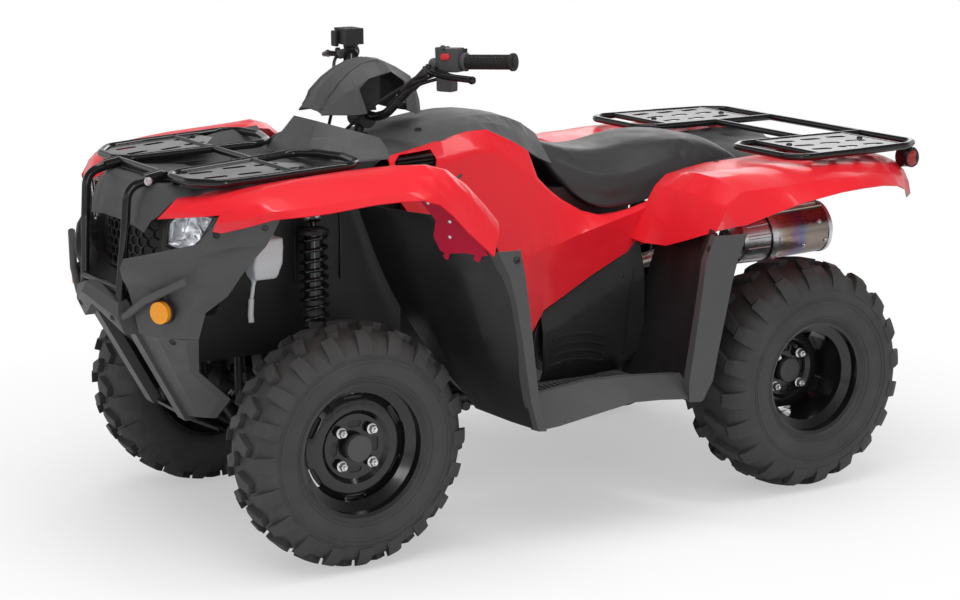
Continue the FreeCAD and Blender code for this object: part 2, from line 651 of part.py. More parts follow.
def tank_cover():
    """The cover between the bars and the saddle, flat on top with sloping shoulders."""
    stations = [
        (across(-388), both([(0, 905), (110, 903), (165, 902), (200, 898)])),
        (across(-345), both([(0, 925), (105, 922), (160, 912), (196, 903)])),
        (across(-250), both([(0, 948), (90, 944), (140, 932), (180, 917)])),
        (across(-160), both([(0, 962), (84, 958), (135, 946), (171, 934)])),
        (across(-95), both([(0, 967), (82, 963), (132, 950), (170, 936)])),
        (across(-45), both([(0, 966), (80, 962), (130, 944), (170, 915)])),
        (across(-14), both([(0, 962), (79, 958), (127, 935), (170, 900)])),
        (across(24), both([(0, 953), (77, 949), (122, 918), (169, 877)])),
        (across(62), both([(0, 938), (74, 934), (114, 898), (158, 856)])),
        (across(112), both([(0, 906), (70, 901), (104, 870), (146, 834)])),
    ]
    foot, d = column_axis()
    notch = Part.makeCylinder(COLUMN_R + 12, 900, foot, d)
    return panel(stations, ruled=True).cut(notch).Solids[0]


def side_panel():
    """The big side panel from the tank down to its low point by the footwell."""
    stations = [
        (across(-385), [(200, 898), (212, 886), (220, 870), (228, 850), (232, 835), (234, 815)]),
        (across(-300), [(190, 912), (206, 886), (214, 868), (228, 820), (234, 760), (238, 700)]),
        (across(-224), [(174, 923), (203, 888), (212, 870), (234, 750), (242, 680), (245, 620)]),
        (across(-150), [(171, 937), (203, 903), (213, 884), (242, 700), (248, 620), (249, 540)]),
        (across(-95), [(170, 938), (203, 900), (213, 880), (248, 650), (250, 570), (250, 480)]),
        (across(-45), [(171, 915), (203, 870), (214, 850), (253, 630), (250, 556), (248, 445)]),
        (across(-14), [(172, 900), (203, 850), (214, 830), (254, 636), (250, 568), (247, 428)]),
        (across(24), [(173, 877), (202, 824), (213, 804), (254, 643), (250, 582), (248, 488)]),
        (across(38), [(196, 812), (204, 806), (213, 794), (254, 646), (250, 588), (250, 497)]),
        (across(60), [(198, 790), (206, 785), (214, 774), (254, 651), (250, 595), (250, 508)]),
        (across(102), [(184, 757), (206, 753), (216, 743), (254, 664), (250, 606), (251, 531)]),
        (across(161), [(166, 716), (206, 720), (218, 714), (254, 679), (251, 622), (253, 563)]),
        (across(222), [(166, 697), (208, 702), (226, 703), (256, 694), (252, 642), (255, 592)]),
        (across(290), [(166, 697), (210, 711), (230, 716), (258, 711), (256, 660), (259, 624)]),
        (across(352), [(166, 704), (212, 726), (234, 733), (260, 731), (262, 684), (266, 638)]),
    ]
    body = panel(stations, ruled=True)
    intake = slab([(150, -372, 884), (150, -352, 899), (150, -262, 905), (150, -254, 880), (150, -262, 860),
                   (150, -360, 860)], (120, 0, 0))
    return body.cut(intake).Solids[0]


def engine_side_cover():
    """The black cover under the side panel's slanting edge."""
    stations = [
        (across(20), [(240, 478), (252, 430), (252, 330), (236, 300)]),
        (across(110), [(244, 532), (262, 480), (262, 340), (244, 304)]),
        (across(210), [(248, 590), (272, 520), (272, 350), (250, 310)]),
        (across(300), [(262, 640), (286, 560), (286, 360), (256, 316)]),
    ]
    return panel(stations)


def seat():
    """The long saddle, as one firm cushion."""
    rows = [(96, 893, 842, 100), (130, 880, 792, 132), (180, 867, 738, 162), (240, 854, 706, 184),
            (320, 853, 704, 194), (400, 865, 722, 198), (500, 872, 758, 192), (600, 861, 790, 176),
            (690, 832, 792, 146), (742, 802, 780, 104)]
    outlines = []
    for y, top, foot, half in rows:
        h = top - foot
        side = [(0, top), (0.42 * half, top - 0.02 * h), (0.74 * half, top - 0.12 * h),
                (0.93 * half, top - 0.34 * h), (half, top - 0.62 * h), (0.97 * half, foot)]
        ring_pts = side + [(-x, z) for x, z in side[:0:-1]]
        outlines.append([(x, y, z) for x, z in ring_pts])
    return loft(outlines)


def rear_fender():
    """Left rear fender: front leg by the footwell, wing over the wheel and the pointed tail."""
    r = REAR_AXLE
    stations = [
        (fan(r, 137), [(252, 520), (300, 515), (352, 484), (420, 476), (500, 470), (520, 440)]),
        (fan(r, 130), [(250, 540), (300, 538), (360, 520), (430, 510), (516, 500), (536, 474)]),
        (fan(r, 122), [(246, 566), (300, 568), (356, 566), (430, 556), (520, 536), (546, 488)]),
        (fan(r, 116), [(214, 556), (300, 574), (366, 582), (440, 578), (522, 552), (556, 478)]),
        (fan(r, 110), [(212, 542), (300, 552), (390, 562), (452, 558), (532, 532), (568, 474)]),
        (fan(r, 103), [(210, 532), (300, 538), (404, 544), (462, 538), (540, 516), (578, 474)]),
        (fan(r, 95), [(208, 522), (300, 528), (412, 536), (468, 530), (544, 510), (584, 476)]),
        (fan(r, 87), [(206, 524), (300, 530), (416, 536), (470, 530), (546, 512), (586, 484)]),
        (fan(r, 79), [(205, 534), (300, 540), (418, 545), (470, 538), (544, 520), (584, 496)]),
        (fan(r, 71), [(204, 556), (300, 562), (414, 564), (464, 556), (534, 536), (574, 514)]),
        (fan(r, 64), [(203, 588), (300, 592), (404, 590), (452, 580), (514, 556), (552, 530)]),
        (fan(r, 58), [(202, 618), (300, 622), (388, 616), (434, 602), (486, 574), (522, 540)]),
        (fan(r, 52), [(200, 640), (300, 644), (366, 634), (410, 614), (450, 584), (480, 552)]),
        (fan(r, 48), [(200, 625), (290, 630), (344, 621), (378, 604), (408, 581), (430, 560)]),
    ]
    body = panel(stations, ruled=True)
    under = slab([(190, 200, 644), (360, 200, 640), (430, 200, 664), (510, 200, 694), (620, 200, 744),
                  (620, 200, 500), (190, 200, 500)], (0, 230, 0))
    return body.cut(under).Solids[0]


def rear_deck():
    """The panel between the rear fenders, under the rack and behind the seat."""
    stations = [
        (across(748), both([(0, 770), (120, 770), (212, 824)])),
        (across(800), both([(0, 806), (150, 806), (212, 826)])),
        (across(900), both([(0, 812), (160, 812), (212, 827)])),
        (across(985), both([(0, 806), (160, 806), (206, 820)])),
        (across(1050), both([(0, 780), (160, 780), (200, 798)])),
    ]
    return panel(stations)


def footwell_guard():
    """The wall between the front wheel and the footwell."""
    stations = [
        (level(292), [(212, -178), (330, -222), (480, -214), (556, -204)]),
        (level(380), [(208, -250), (330, -276), (480, -252), (560, -226)]),
        (level(500), [(204, -335), (330, -336), (480, -296), (562, -248)]),
        (level(620), [(202, -400), (330, -390), (480, -336), (564, -272)]),
        (level(720), [(200, -440), (330, -430), (470, -370), (562, -300)]),
        (level(800), [(200, -470), (320, -462), (440, -420), (548, -350)]),
    ]
    return panel([(p, line[::-1]) for p, line in stations])


def nose_side_skirt():
    """The lower cover beside the rails, narrowing down to the skid pan."""
    stations = [
        (level(536), [(121, -992), (205, -978), (262, -938), (276, -912)]),
        (level(447), [(118, -946), (176, -930), (214, -906), (222, -890)]),
        (level(372), [(116, -904), (160, -888), (206, -836), (219, -812)]),
        (level(318), [(114, -874), (140, -858), (158, -842), (168, -826)]),
    ]
    return panel(stations, ruled=True)


def guard_strip_front():
    """The strip down the guard's outer edge, from the fender to the footrest."""
    stations = [
        (level(288), [(549, -203), (573, -197), (581, -180), (565, -172)]),
        (level(360), [(551, -226), (575, -219), (583, -201), (567, -193)]),
        (level(430), [(552, -239), (576, -231), (584, -211), (568, -203)]),
        (level(510), [(553, -253), (577, -244), (585, -221), (569, -213)]),
        (level(600), [(553, -272), (577, -261), (585, -232), (569, -224)]),
        (level(664), [(553, -290), (576, -278), (584, -241), (569, -233)]),
        (level(722), [(553, -322), (574, -308), (581, -252), (568, -244)]),
    ]
    return panel([(p, line[::-1]) for p, line in stations], ruled=True)


def footrest():
    """The floor under the foot with its raised outer band."""
    stations = [
        (across(-196), [(236, 296), (476, 300), (490, 352), (506, 358), (570, 290)]),
        (across(-137), [(236, 300), (476, 306), (490, 358), (506, 364), (572, 294)]),
        (across(-25), [(236, 304), (476, 312), (490, 368), (506, 374), (573, 310)]),
        (across(70), [(236, 306), (476, 316), (490, 366), (506, 371), (573, 323)]),
        (across(150), [(236, 306), (476, 314), (490, 360), (506, 364), (572, 318)]),
        (across(252), [(236, 306), (476, 308), (490, 350), (506, 355), (570, 306)]),
    ]
    return panel(stations, ruled=True)


def rear_guard():
    """The wall between the footwell and the rear wheel."""
    stations = [
        (level(296), [(244, 262), (330, 276), (450, 276), (548, 250)]),
        (level(400), [(250, 290), (340, 302), (460, 296), (552, 262)]),
        (level(520), [(258, 322), (350, 332), (460, 322), (556, 280)]),
        (level(640), [(276, 352), (350, 360), (450, 350), (556, 302)]),
        (level(700), [(300, 372), (350, 376), (440, 372), (556, 322)]),
    ]
    return panel(stations)


def guard_strip_rear():
    """The strip down the rear guard's outer edge, from the fender's leg to the footrest."""
    stations = [
        (level(298), [(546, 240), (570, 238), (578, 262), (564, 280)]),
        (level(345), [(548, 236), (572, 234), (580, 292), (566, 302)]),
        (level(421), [(549, 249), (573, 246), (582, 306), (568, 316)]),
        (level(500), [(550, 262), (574, 258), (584, 323), (570, 333)]),
        (level(580), [(550, 275), (574, 270), (585, 340), (571, 350)]),
        (level(640), [(550, 284), (574, 278), (585, 357), (571, 367)]),
        (level(698), [(550, 310), (572, 304), (583, 385), (570, 393)]),
    ]
    return panel(stations, ruled=True)


def front_side_cover():
    """The cover below the headlight, with its bulging rib, wrapping round to the wheel arch."""
    stations = [
        (level(537), [(152, -1004), (225, -975), (268, -936), (281, -914)]),
        (level(600), [(146, -1014), (232, -986), (286, -936), (300, -904)]),
        (level(640), [(140, -1022), (236, -988), (314, -920), (338, -868)]),
        (level(664), [(138, -1034), (222, -1006), (320, -926), (352, -856)]),
        (level(690), [(140, -1040), (226, -1006), (318, -938), (368, -846)]),
        (level(712), [(150, -1034), (230, -998), (322, -934), (384, -837)]),
        (level(732), [(224, -1000), (262, -976), (320, -936), (398, -826)]),
        (level(762), [(324, -930), (352, -910), (392, -874), (420, -808)]),
        (level(795), [(348, -913), (374, -900), (410, -866), (437, -796)]),
        (level(826), [(394, -902), (412, -888), (434, -848), (450, -786)]),
    ]
    return panel([(p, line[::-1]) for p, line in stations], ruled=True)


def headlight():
    """One lamp: a wedge of clear lens ahead of its bowl."""
    outline = [(205, 742), (284, 728), (330, 770), (384, 842), (262, 836), (216, 796)]
    front = [(x, -957 + 0.30 * (x - 205), z) for x, z in outline]
    back = [(x, -885 + 0.30 * (x - 205), z) for x, z in outline]
    return loft([front, back], True)


def hex_cut(x, y, z, half_width, half_height, depth):
    points = [(x + half_width * k, y, z + half_height * h)
              for k, h in ((0, 1), (1, 0.5), (1, -0.5), (0, -1), (-1, -0.5), (-1, 0.5))]
    return slab(points, (0, depth, 0))


def front_grille():
    """The mesh between the lamps, bowed round the nose and pierced by six-sided holes."""
    plan = [(0, -972), (62, -971), (106, -962), (150, -937), (205, -930)]
    stations = [(level(z), both([(x, y + lean) for x, y in plan])) for z, lean in ((662, -7), (804, 5))]
    holes = []
    for j in range(6):
        for i in range(-5, 6 - j % 2):
            holes.append(hex_cut(29 * i + 14.5 * (j % 2), -1000, 677 + 20 * j, 12.8, 12.2, 100))
    return panel(stations, 6, ruled=True).cut(Part.makeCompound(holes)).Solids[0]


def front_bumper():
    """Two tubular uprights with the cross bar at their foot."""
    left = tube([(128, -948, 884), (124, -1008, 868), (121, -1016, 770), (106, -1030, 600)], 10.5, 45)
    bar = rod((-110, -1029, 632), (110, -1029, 632), 9)
    return fused([left, mirrored(left), bar])


def bumper_bar():
    """The bar that runs from the chin out and up to the headlight's corner."""
    return tube([(112, -1030, 568), (150, -1028, 584), (222, -1013, 628), (352, -966, 690)], 9, 40)


def bumper_guard():
    """The grey chin across the nose, with its two rails sloping down to the skid pan."""
    half = loft([
        [(0, -1040, 640), (128, -1016, 606), (128, -1042, 606), (0, -1068, 640)],
        [(0, -1032, 616), (128, -1006, 572), (128, -1044, 572), (0, -1079.3, 616)],
        [(0, -1018, 585), (124, -992, 530), (124, -1026, 530), (0, -1056, 585)],
    ], True)
    rail = loft([
        [(80, -1040, 600), (128, -1040, 600), (128, -1014, 600), (80, -1014, 600)],
        [(74, -882, 306), (118, -882, 306), (118, -856, 306), (74, -856, 306)],
    ], True)
    foot = slab([(-120, -872, 306), (120, -872, 306), (120, -800, 270), (-120, -800, 270)], (0, 0, 7))
    return fused([half, mirrored(half), rail, mirrored(rail), foot])


def skid_plate():
    plate = slab([(-120, -735, 236), (120, -735, 236), (120, 330, 236), (-120, 330, 236)], (0, 0, 6))
    nose = slab([(-120, -735, 236), (120, -735, 236), (120, -800, 276), (-120, -800, 276)], (0, 0, 6))
    return fused([plate, nose])


def rack_slots(points, plate_z, length, width, angle):
    """Oblong cuts through a rack's side plate."""
    cuts = []
    a = radians(angle)
    for x, y in points:
        ends = [(x + s * length * cos(a), y + s * length * sin(a), plate_z - 40) for s in (-0.5, 0.5)]
        cuts += [rod(e, (e[0], e[1], plate_z + 60), width / 2) for e in ends]
        nx, ny = -sin(a) * width / 2, cos(a) * width / 2
        corners = [(ends[0][0] - nx, ends[0][1] - ny), (ends[1][0] - nx, ends[1][1] - ny),
                   (ends[1][0] + nx, ends[1][1] + ny), (ends[0][0] + nx, ends[0][1] + ny)]
        cuts.append(slab([(*c, plate_z - 40) for c in corners], (0, 0, 100)))
    return Part.makeCompound(cuts)


FRONT_RACK_Y = -955.0
FRONT_RACK_RISE = 21.0 / 415.0


def rack_height(y):
    """Height of the front rack's tubes, which rise to the rear."""
    return RACK_Z + (y - FRONT_RACK_Y) * FRONT_RACK_RISE


def front_rack():
    """The front carrier: a looped side frame with a slotted plate each side, cross bars and posts."""
    def run(points, r=RACK_R):
        return tube([(x, y, rack_height(y)) for x, y in points], r, 45)
    rear_run = [(340, -640), (345, -560), (310, -525), (225, -514), (130, -538), (88, -580), (108, -680)]
    left = [
        run([(118, -760), (138, -921), (262, -918), (332, -872), (340, -780), (340, -630)]),
        run(rear_run + [(119, -775)]),
        rod((110, -694, rack_height(-694)), (340, -694, rack_height(-694)), RACK_R - 2),
        rod((124, -926, rack_height(-926)), (126, -962, 884), 13),
        rod((300, -660, 862), (300, -660, rack_height(-660)), 8),
        rod((150, -900, 850), (150, -900, rack_height(-900)), 8),
    ]
    deck = [(140, -905), (258, -905), (322, -862), (330, -790), (332, -640), (250, -628), (150, -694),
            (112, -700), (122, -780)]
    plate = slab([(x, y, rack_height(y)) for x, y in deck], (0, 0, RACK_PLATE))
    slots = [(185, -855), (262, -852), (180, -770), (275, -775), (285, -690), (200, -700)]
    left.append(plate.cut(rack_slots(slots, RACK_Z, 36, 20, 80)))
    bars = [rod((-140, y, rack_height(y)), (140, y, rack_height(y)), RACK_R - 1) for y in (-921, -690)]
    return fused(left + [mirrored(s) for s in left] + bars)


REAR_RACK_Z = 846.0
REAR_RACK_END = 1069.83


def rear_rack():
    """The rear carrier: wider side frames with slotted plates, cross bars and posts to the fenders."""
    z = REAR_RACK_Z
    inner_run = [(192, REAR_RACK_END - 3, z), (190, 664, z), (225, 625, z), (430, 627, z), (464, 667, z)]
    left = [
        tube(inner_run + [(456, 862, z)], RACK_R - 0.5, 45),
        tube([(456.5, 850, z), (442, 1010, z), (402, REAR_RACK_END, z), (0, REAR_RACK_END, z)], RACK_R, 45),
        rod((0, 875, z), (194, 875, z), RACK_R - 1),
        rod((190, 716, z), (458, 716, z), RACK_R - 2),
        rod((192, 1000, z), (440, 1000, z), RACK_R - 2),
        rod((300, 718, 800), (300, 718, z), 9),
        rod((300, 990, 800), (300, 990, z), 9),
        rod((397, 1032, 808), (400, 1052, 808), 25),
        rod((398, 1040, 820), (424, 1037, z), 7),
    ]
    deck = [(192, 716), (458, 716), (456, 850), (444, 1000), (192, 1000)]
    plate = slab([(x, y, z + 3) for x, y in deck], (0, 0, RACK_PLATE))
    slots = [(x, y) for x in (250, 330, 400) for y in (765, 850, 935)]
    left.append(plate.cut(rack_slots(slots, z, 34, 24, 80)))
    return fused(left + [mirrored(s) for s in left])


def radiator():
    """Core behind the grille, carried on the front frame tubes."""
    return slab([(-160, -905, 560), (160, -905, 560), (160, -905, 770), (-160, -905, 770)], (0, 46, 0))


def overflow_bottle():
    """Translucent coolant bottle with its neck and hose stub."""
    body = loft([[(214, -762, 650), (262, -762, 650), (262, -706, 650), (214, -706, 650)],
                 [(206, -770, 690), (272, -770, 690), (272, -694, 690), (206, -694, 690)],
                 [(210, -752, 745), (266, -752, 745), (266, -690, 745), (210, -690, 745)]], True)
    neck = rod((238, -720, 740), (238, -720, 762), 12)
    return fused([body, neck, rod((232, -760, 600), (232, -750, 655), 6)])


def tail_lamp():
    return rod((400, 1050, 808), (403, 1070, 808), 22)


def side_reflector():
    return rod((250, -978, 604), (262, -1000, 604), 25)


def hitch():
    """Drawbar plate behind the axle housing, with its ball hole."""
    y = REAR_AXLE_Y + 30
    plate = slab([(-40, y, 300), (40, y, 300), (32, y + 110, 300), (-32, y + 110, 300)], (0, 0, 8))
    return plate.cut(rod((0, y + 80, 290), (0, y + 80, 320), 8.5)).Solids[0]


def root_pieces():
    """Every piece that the frame carries, seated in order on what comes before it."""
    n = {}
    n["seat"] = [seat()]
    n["engine"] = [engine()]
    n["tank_cover"] = [trimmed(tank_cover(), n["seat"])]
    pair_makers = [
        ("front_fenders", front_fender, []),
        ("side_panels", side_panel, ["seat", "tank_cover", "front_fenders"]),
        ("rear_fenders", rear_fender, ["seat", "side_panels"]),
        ("engine_side_covers", engine_side_cover, ["side_panels", "engine"]),
        ("footwell_guards", footwell_guard, ["front_fenders", "side_panels"]),
        ("guard_strips_front", guard_strip_front, ["front_fenders", "footwell_guards"]),
        ("footrests", footrest, ["footwell_guards", "guard_strips_front", "engine_side_covers"]),
        ("rear_guards", rear_guard, ["rear_fenders", "side_panels", "footrests", "engine_side_covers"]),
        ("guard_strips_rear", guard_strip_rear, ["rear_guards", "rear_fenders", "footrests"]),
        ("headlights", headlight, ["front_fenders"]),
        ("front_side_covers", front_side_cover, ["headlights", "front_fenders"]),
    ]
    for name, maker, carriers in pair_makers:
        left = trimmed(maker(), [s for c in carriers for s in n[c]])
        n[name] = [left, mirrored(left)]
    singles = [
        ("column_shroud", column_shroud, ["tank_cover", "side_panels"]),
        ("nose_panel", nose_panel, ["front_fenders", "headlights", "column_shroud"]),
        ("front_grille", front_grille, ["headlights", "nose_panel", "front_side_covers"]),
        ("rear_deck", rear_deck, ["rear_fenders", "seat"]),
        ("bumper_guard", bumper_guard, ["front_side_covers"]),
        ("front_bumper", front_bumper, ["bumper_guard", "nose_panel", "front_side_covers"]),
        ("front_rack", front_rack, ["front_bumper", "nose_panel", "front_fenders", "column_shroud"]),
        ("rear_rack", rear_rack, ["rear_fenders", "rear_deck"]),
        ("skid_plate", skid_plate, ["bumper_guard"]),
        ("radiator", radiator, ["front_side_covers"]),
        ("muffler", muffler, ["rear_fenders"]),
        ("exhaust_pipe", exhaust_pipe, ["muffler", "engine", "rear_guards"]),
        ("front_differential", front_differential, []),
        ("swingarm", swingarm, []),
        ("hitch", hitch, ["swingarm"]),
        ("rear_shock", rear_shock, ["swingarm"]),
    ]
    for name, maker, carriers in singles:
        n[name] = [trimmed(maker(), [s for c in carriers for s in n[c]])]
    arms = [a_arm(FRONT_TYRE_R - KNUCKLE_HALF_H - 10, RAIL_Z, 112),
            a_arm(FRONT_TYRE_R + KNUCKLE_HALF_H + 10, 396, 112)]
    n["suspension_arms"] = arms + [mirrored(s) for s in arms]
    shock = trimmed(front_shock(), arms)
    n["front_shocks"] = [shock, mirrored(shock)]
    skirt = trimmed(nose_side_skirt(), n["bumper_guard"] + n["front_side_covers"])
    n["nose_side_skirts"] = [skirt, mirrored(skirt)]
    bar = trimmed(bumper_bar(), n["bumper_guard"] + n["front_side_covers"] + n["front_bumper"])
    n["bumper_bars"] = [bar, mirrored(bar)]
    lamp = trimmed(tail_lamp(), n["rear_fenders"] + n["rear_deck"] + n["rear_rack"])
    n["tail_lamps"] = [lamp, mirrored(lamp)]
    amber = trimmed(side_reflector(), n["front_side_covers"])
    n["side_reflectors"] = [amber, mirrored(amber)]
    n["overflow_bottle"] = [trimmed(overflow_bottle(), n["front_side_covers"] + n["front_fenders"])]
    others = [s for name, solids in n.items() for s in solids]
    n["frame"] = [trimmed(frame_tubes(), others)]
    return n


def steering_pieces():
    n = {}
    n["handlebar"] = [handlebar()]
    n["steering_column"] = [trimmed(steering_column(), n["handlebar"])]
    g = trimmed(grip(), n["handlebar"])
    n["grips"] = [g, mirrored(g)]
    n["bar_controls"] = [trimmed(switch_box(), n["handlebar"] + n["grips"]),
                         trimmed(brake_reservoir(), n["handlebar"] + n["grips"])]
    lv = trimmed(lever(), n["bar_controls"][:1] + n["handlebar"])
    rv = trimmed(mirrored(lever()), n["bar_controls"][1:] + n["handlebar"])
    n["levers"] = [lv, rv]
    n["handlebar_cowl"] = [trimmed(handlebar_cowl(), n["handlebar"] + n["steering_column"])]
    held = n["bar_controls"] + n["handlebar"] + n["handlebar_cowl"] + n["levers"]
    n["control_cables"] = [trimmed(c, held) for c in control_cables()]
    return n


def main():
    os.makedirs("parts", exist_ok=True)
    nodes = root_pieces()
    nodes.update(steering_pieces())
    nodes.update(rear_wheels())
    left_hand = {"knuckle_": knuckle(), "tie_rod_": tie_rod()}
    left_hand.update({part + "_front_": solid for part, solid in front_wheel().items()})
    for name, solid in left_hand.items():
        nodes[name + "left"] = [solid]
        nodes[name + "right"] = [mirrored(solid)]
    for name, solids in nodes.items():
        shape = solids[0] if len(solids) == 1 else Part.makeCompound(solids)
        shape.exportStep("parts/" + name + ".step")
        flag = "" if all(s.isValid() and s.Volume > 0 for s in solids) else " INVALID"
        litres = sum(s.Volume for s in solids) / 1e6
        print(f"{name:22s} {len(solids)} solids {litres:8.3f} l{flag}")


main()
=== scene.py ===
import json
from math import cos, pi, radians, sin, tau

import bmesh
import bpy
from mathutils import Matrix, Vector
from mathutils.bvhtree import BVHTree


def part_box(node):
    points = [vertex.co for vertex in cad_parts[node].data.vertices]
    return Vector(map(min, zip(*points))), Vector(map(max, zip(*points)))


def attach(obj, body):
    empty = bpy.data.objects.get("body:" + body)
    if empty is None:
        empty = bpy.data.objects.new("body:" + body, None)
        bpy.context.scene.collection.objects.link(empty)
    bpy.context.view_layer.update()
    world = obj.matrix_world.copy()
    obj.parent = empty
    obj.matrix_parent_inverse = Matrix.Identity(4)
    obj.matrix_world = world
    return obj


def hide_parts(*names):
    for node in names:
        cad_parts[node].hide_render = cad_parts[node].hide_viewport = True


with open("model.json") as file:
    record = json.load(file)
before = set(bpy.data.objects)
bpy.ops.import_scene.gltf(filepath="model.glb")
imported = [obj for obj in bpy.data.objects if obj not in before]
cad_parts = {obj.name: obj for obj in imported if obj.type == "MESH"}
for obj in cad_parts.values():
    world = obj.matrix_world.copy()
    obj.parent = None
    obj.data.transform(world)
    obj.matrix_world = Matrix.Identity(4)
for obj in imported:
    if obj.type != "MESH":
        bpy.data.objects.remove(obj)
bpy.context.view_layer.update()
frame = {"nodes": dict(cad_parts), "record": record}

bl_info = {
    "name": "Utility quad bike dressing",
    "version": (1, 0, 0),
    "blender": (4, 5, 0),
    "location": "View3D > Sidebar > Quad bike",
    "description": "Finishes and fine pieces of a utility quad bike, built around its packed solids",
    "category": "Object",
}

NODES = frame["nodes"]


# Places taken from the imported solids

def centre_of(node):
    low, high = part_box(node)
    return (low + high) / 2


FRONT_WHEEL = centre_of("tyre_front_left")
REAR_WHEEL = Vector((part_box("tyres_rear")[1].x, centre_of("tyres_rear").y, centre_of("tyres_rear").z))


# Nodes

def feed(tree, node, sockets):
    """Gives sockets, by name or number, a value or a link from another socket."""
    for title, value in sockets.items():
        if isinstance(value, bpy.types.NodeSocket):
            tree.links.new(value, node.inputs[title])
        else:
            node.inputs[title].default_value = value


def add_node(tree, kind, sockets=None, **settings):
    node = tree.nodes.new(kind)
    for name, value in settings.items():
        setattr(node, name, value)
    feed(tree, node, sockets or {})
    return node


def math_node(tree, operation, a, b, clamp=False):
    return add_node(tree, "ShaderNodeMath", {0: a, 1: b}, operation=operation, use_clamp=clamp).outputs[0]


def noise_node(tree, vector, scale, detail=3.0, rough=0.55):
    sockets = {"Vector": vector, "Scale": scale, "Detail": detail, "Roughness": rough}
    return add_node(tree, "ShaderNodeTexNoise", sockets).outputs["Fac"]


def ranged(tree, value, low, high, new_low, new_high):
    sockets = {"Value": value, "From Min": low, "From Max": high, "To Min": new_low, "To Max": new_high}
    return add_node(tree, "ShaderNodeMapRange", sockets).outputs["Result"]


def mixed_colour(tree, share, a, b):
    sockets = {"Factor": share, "A": a, "B": b}
    return add_node(tree, "ShaderNodeMix", sockets, data_type="RGBA").outputs["Result"]


def object_place(tree):
    return add_node(tree, "ShaderNodeTexCoord").outputs["Object"]


def node_group(name, kind, inputs, outputs):
    """An empty node group with named sockets, given as (name, type, default)."""
    group = bpy.data.node_groups.new(name, kind)
    for title, socket_type, value in inputs:
        socket = group.interface.new_socket(title, in_out="INPUT", socket_type="NodeSocket" + socket_type)
        if value is not None:
            socket.default_value = value
    for title, socket_type in outputs:
        group.interface.new_socket(title, in_out="OUTPUT", socket_type="NodeSocket" + socket_type)
    return group, group.nodes.new("NodeGroupInput").outputs, group.nodes.new("NodeGroupOutput")


# Mesh helpers

def add_object(name, data):
    thing = bpy.data.objects.new(name, data)
    bpy.context.scene.collection.objects.link(thing)
    return thing


def mesh_from(name, build):
    """A mesh made by a function that fills an empty bmesh."""
    bm = bmesh.new()
    build(bm)
    mesh = bpy.data.meshes.new(name)
    bm.to_mesh(mesh)
    bm.free()
    return mesh


WELD_REACH = 0.00002
FACE_WEIGHT = 60


def soften(thing, angle):
    """Smooth shading up to an angle, on a mesh whose split corners are welded."""
    weld = thing.modifiers.new("weld", "WELD")
    weld.merge_threshold = WELD_REACH
    smooth = thing.modifiers.new("smooth by angle", "NODES")
    smooth.node_group = smoothing_group()
    smooth["Socket_1"] = radians(angle)
    weighted = thing.modifiers.new("weighted normals", "WEIGHTED_NORMAL")
    weighted.keep_sharp = True
    weighted.weight = FACE_WEIGHT


def smoothing_group():
    """Geometry nodes that keep edges sharp where two faces meet at more than an angle."""
    name = "smooth by angle"
    if name in bpy.data.node_groups:
        return bpy.data.node_groups[name]
    group, given, result = node_group(
        name, "GeometryNodeTree", [("Geometry", "Geometry", None), ("Angle", "Float", None)],
        [("Geometry", "Geometry")])
    faces = add_node(group, "GeometryNodeSetShadeSmooth", {"Geometry": given["Geometry"]}, domain="FACE")
    angle = add_node(group, "GeometryNodeInputMeshEdgeAngle").outputs["Unsigned Angle"]
    sharper = add_node(group, "FunctionNodeCompare", {"A": angle, "B": given["Angle"]},
                       operation="GREATER_THAN")
    edges = add_node(group, "GeometryNodeSetShadeSmooth", {
        "Geometry": faces.outputs["Geometry"], "Selection": sharper.outputs["Result"], "Shade Smooth": False},
        domain="EDGE")
    feed(group, result, {"Geometry": edges.outputs["Geometry"]})
    return group


# Shapes

def smooth_line(points, per=6):
    """Points along a smooth line through the given ones."""
    knots = [Vector(p) for p in points]
    knots = [2 * knots[0] - knots[1], *knots, 2 * knots[-1] - knots[-2]]
    line = []
    for a, b, c, d in zip(knots, knots[1:], knots[2:], knots[3:]):
        for step in range(per):
            t = step / per
            line.append(0.5 * (2 * b + (c - a) * t + (2 * a - 5 * b + 4 * c - d) * t * t
                               + (3 * b - a - 3 * c + d) * t ** 3))
    return line + [knots[-2]]


def join_rings(bm, rings, closed=False):
    """Faces between each ring of vertices and the next; a ring of one vertex is a tip."""
    for a, b in zip(rings, rings[1:]):
        for k in range(max(len(a), len(b))):
            corners = [a[k % len(a)], a[(k + 1) % len(a)], b[(k + 1) % len(b)], b[k % len(b)]]
            corners = list(dict.fromkeys(corners))
            if len(corners) > 2:
                bm.faces.new(corners)
    if closed:
        bm.faces.new(rings[0])
        bm.faces.new(rings[-1])


def sweep(bm, line, radius, steps=10):
    """A round bar along a line of points, closed at both ends."""
    side, rings = None, []
    angles = [tau * k / steps for k in range(steps)]
    for k, here in enumerate(line):
        along = way_at(line, k)
        side = (side - along * side.dot(along)).normalized() if side else along.orthogonal().normalized()
        other = along.cross(side)
        rings.append([bm.verts.new(here + radius * (side * cos(a) + other * sin(a))) for a in angles])
    join_rings(bm, rings, closed=True)


def way_at(line, k):
    """The direction of a line of points at one of them."""
    return (line[min(k + 1, len(line) - 1)] - line[max(k - 1, 0)]).normalized()


def lathe(bm, place, direction, profile, steps=32):
    """A profile of (distance along, radius) turned about an axis."""
    turn = Vector(direction).to_track_quat("Z", "Y").to_matrix()
    angles = [tau * k / steps for k in range(steps)]
    rings = []
    for along, radius in profile:
        spots = [(radius * cos(a), radius * sin(a), along) for a in (angles if radius else angles[:1])]
        rings.append([bm.verts.new(Vector(place) + turn @ Vector(s)) for s in spots])
    join_rings(bm, rings)


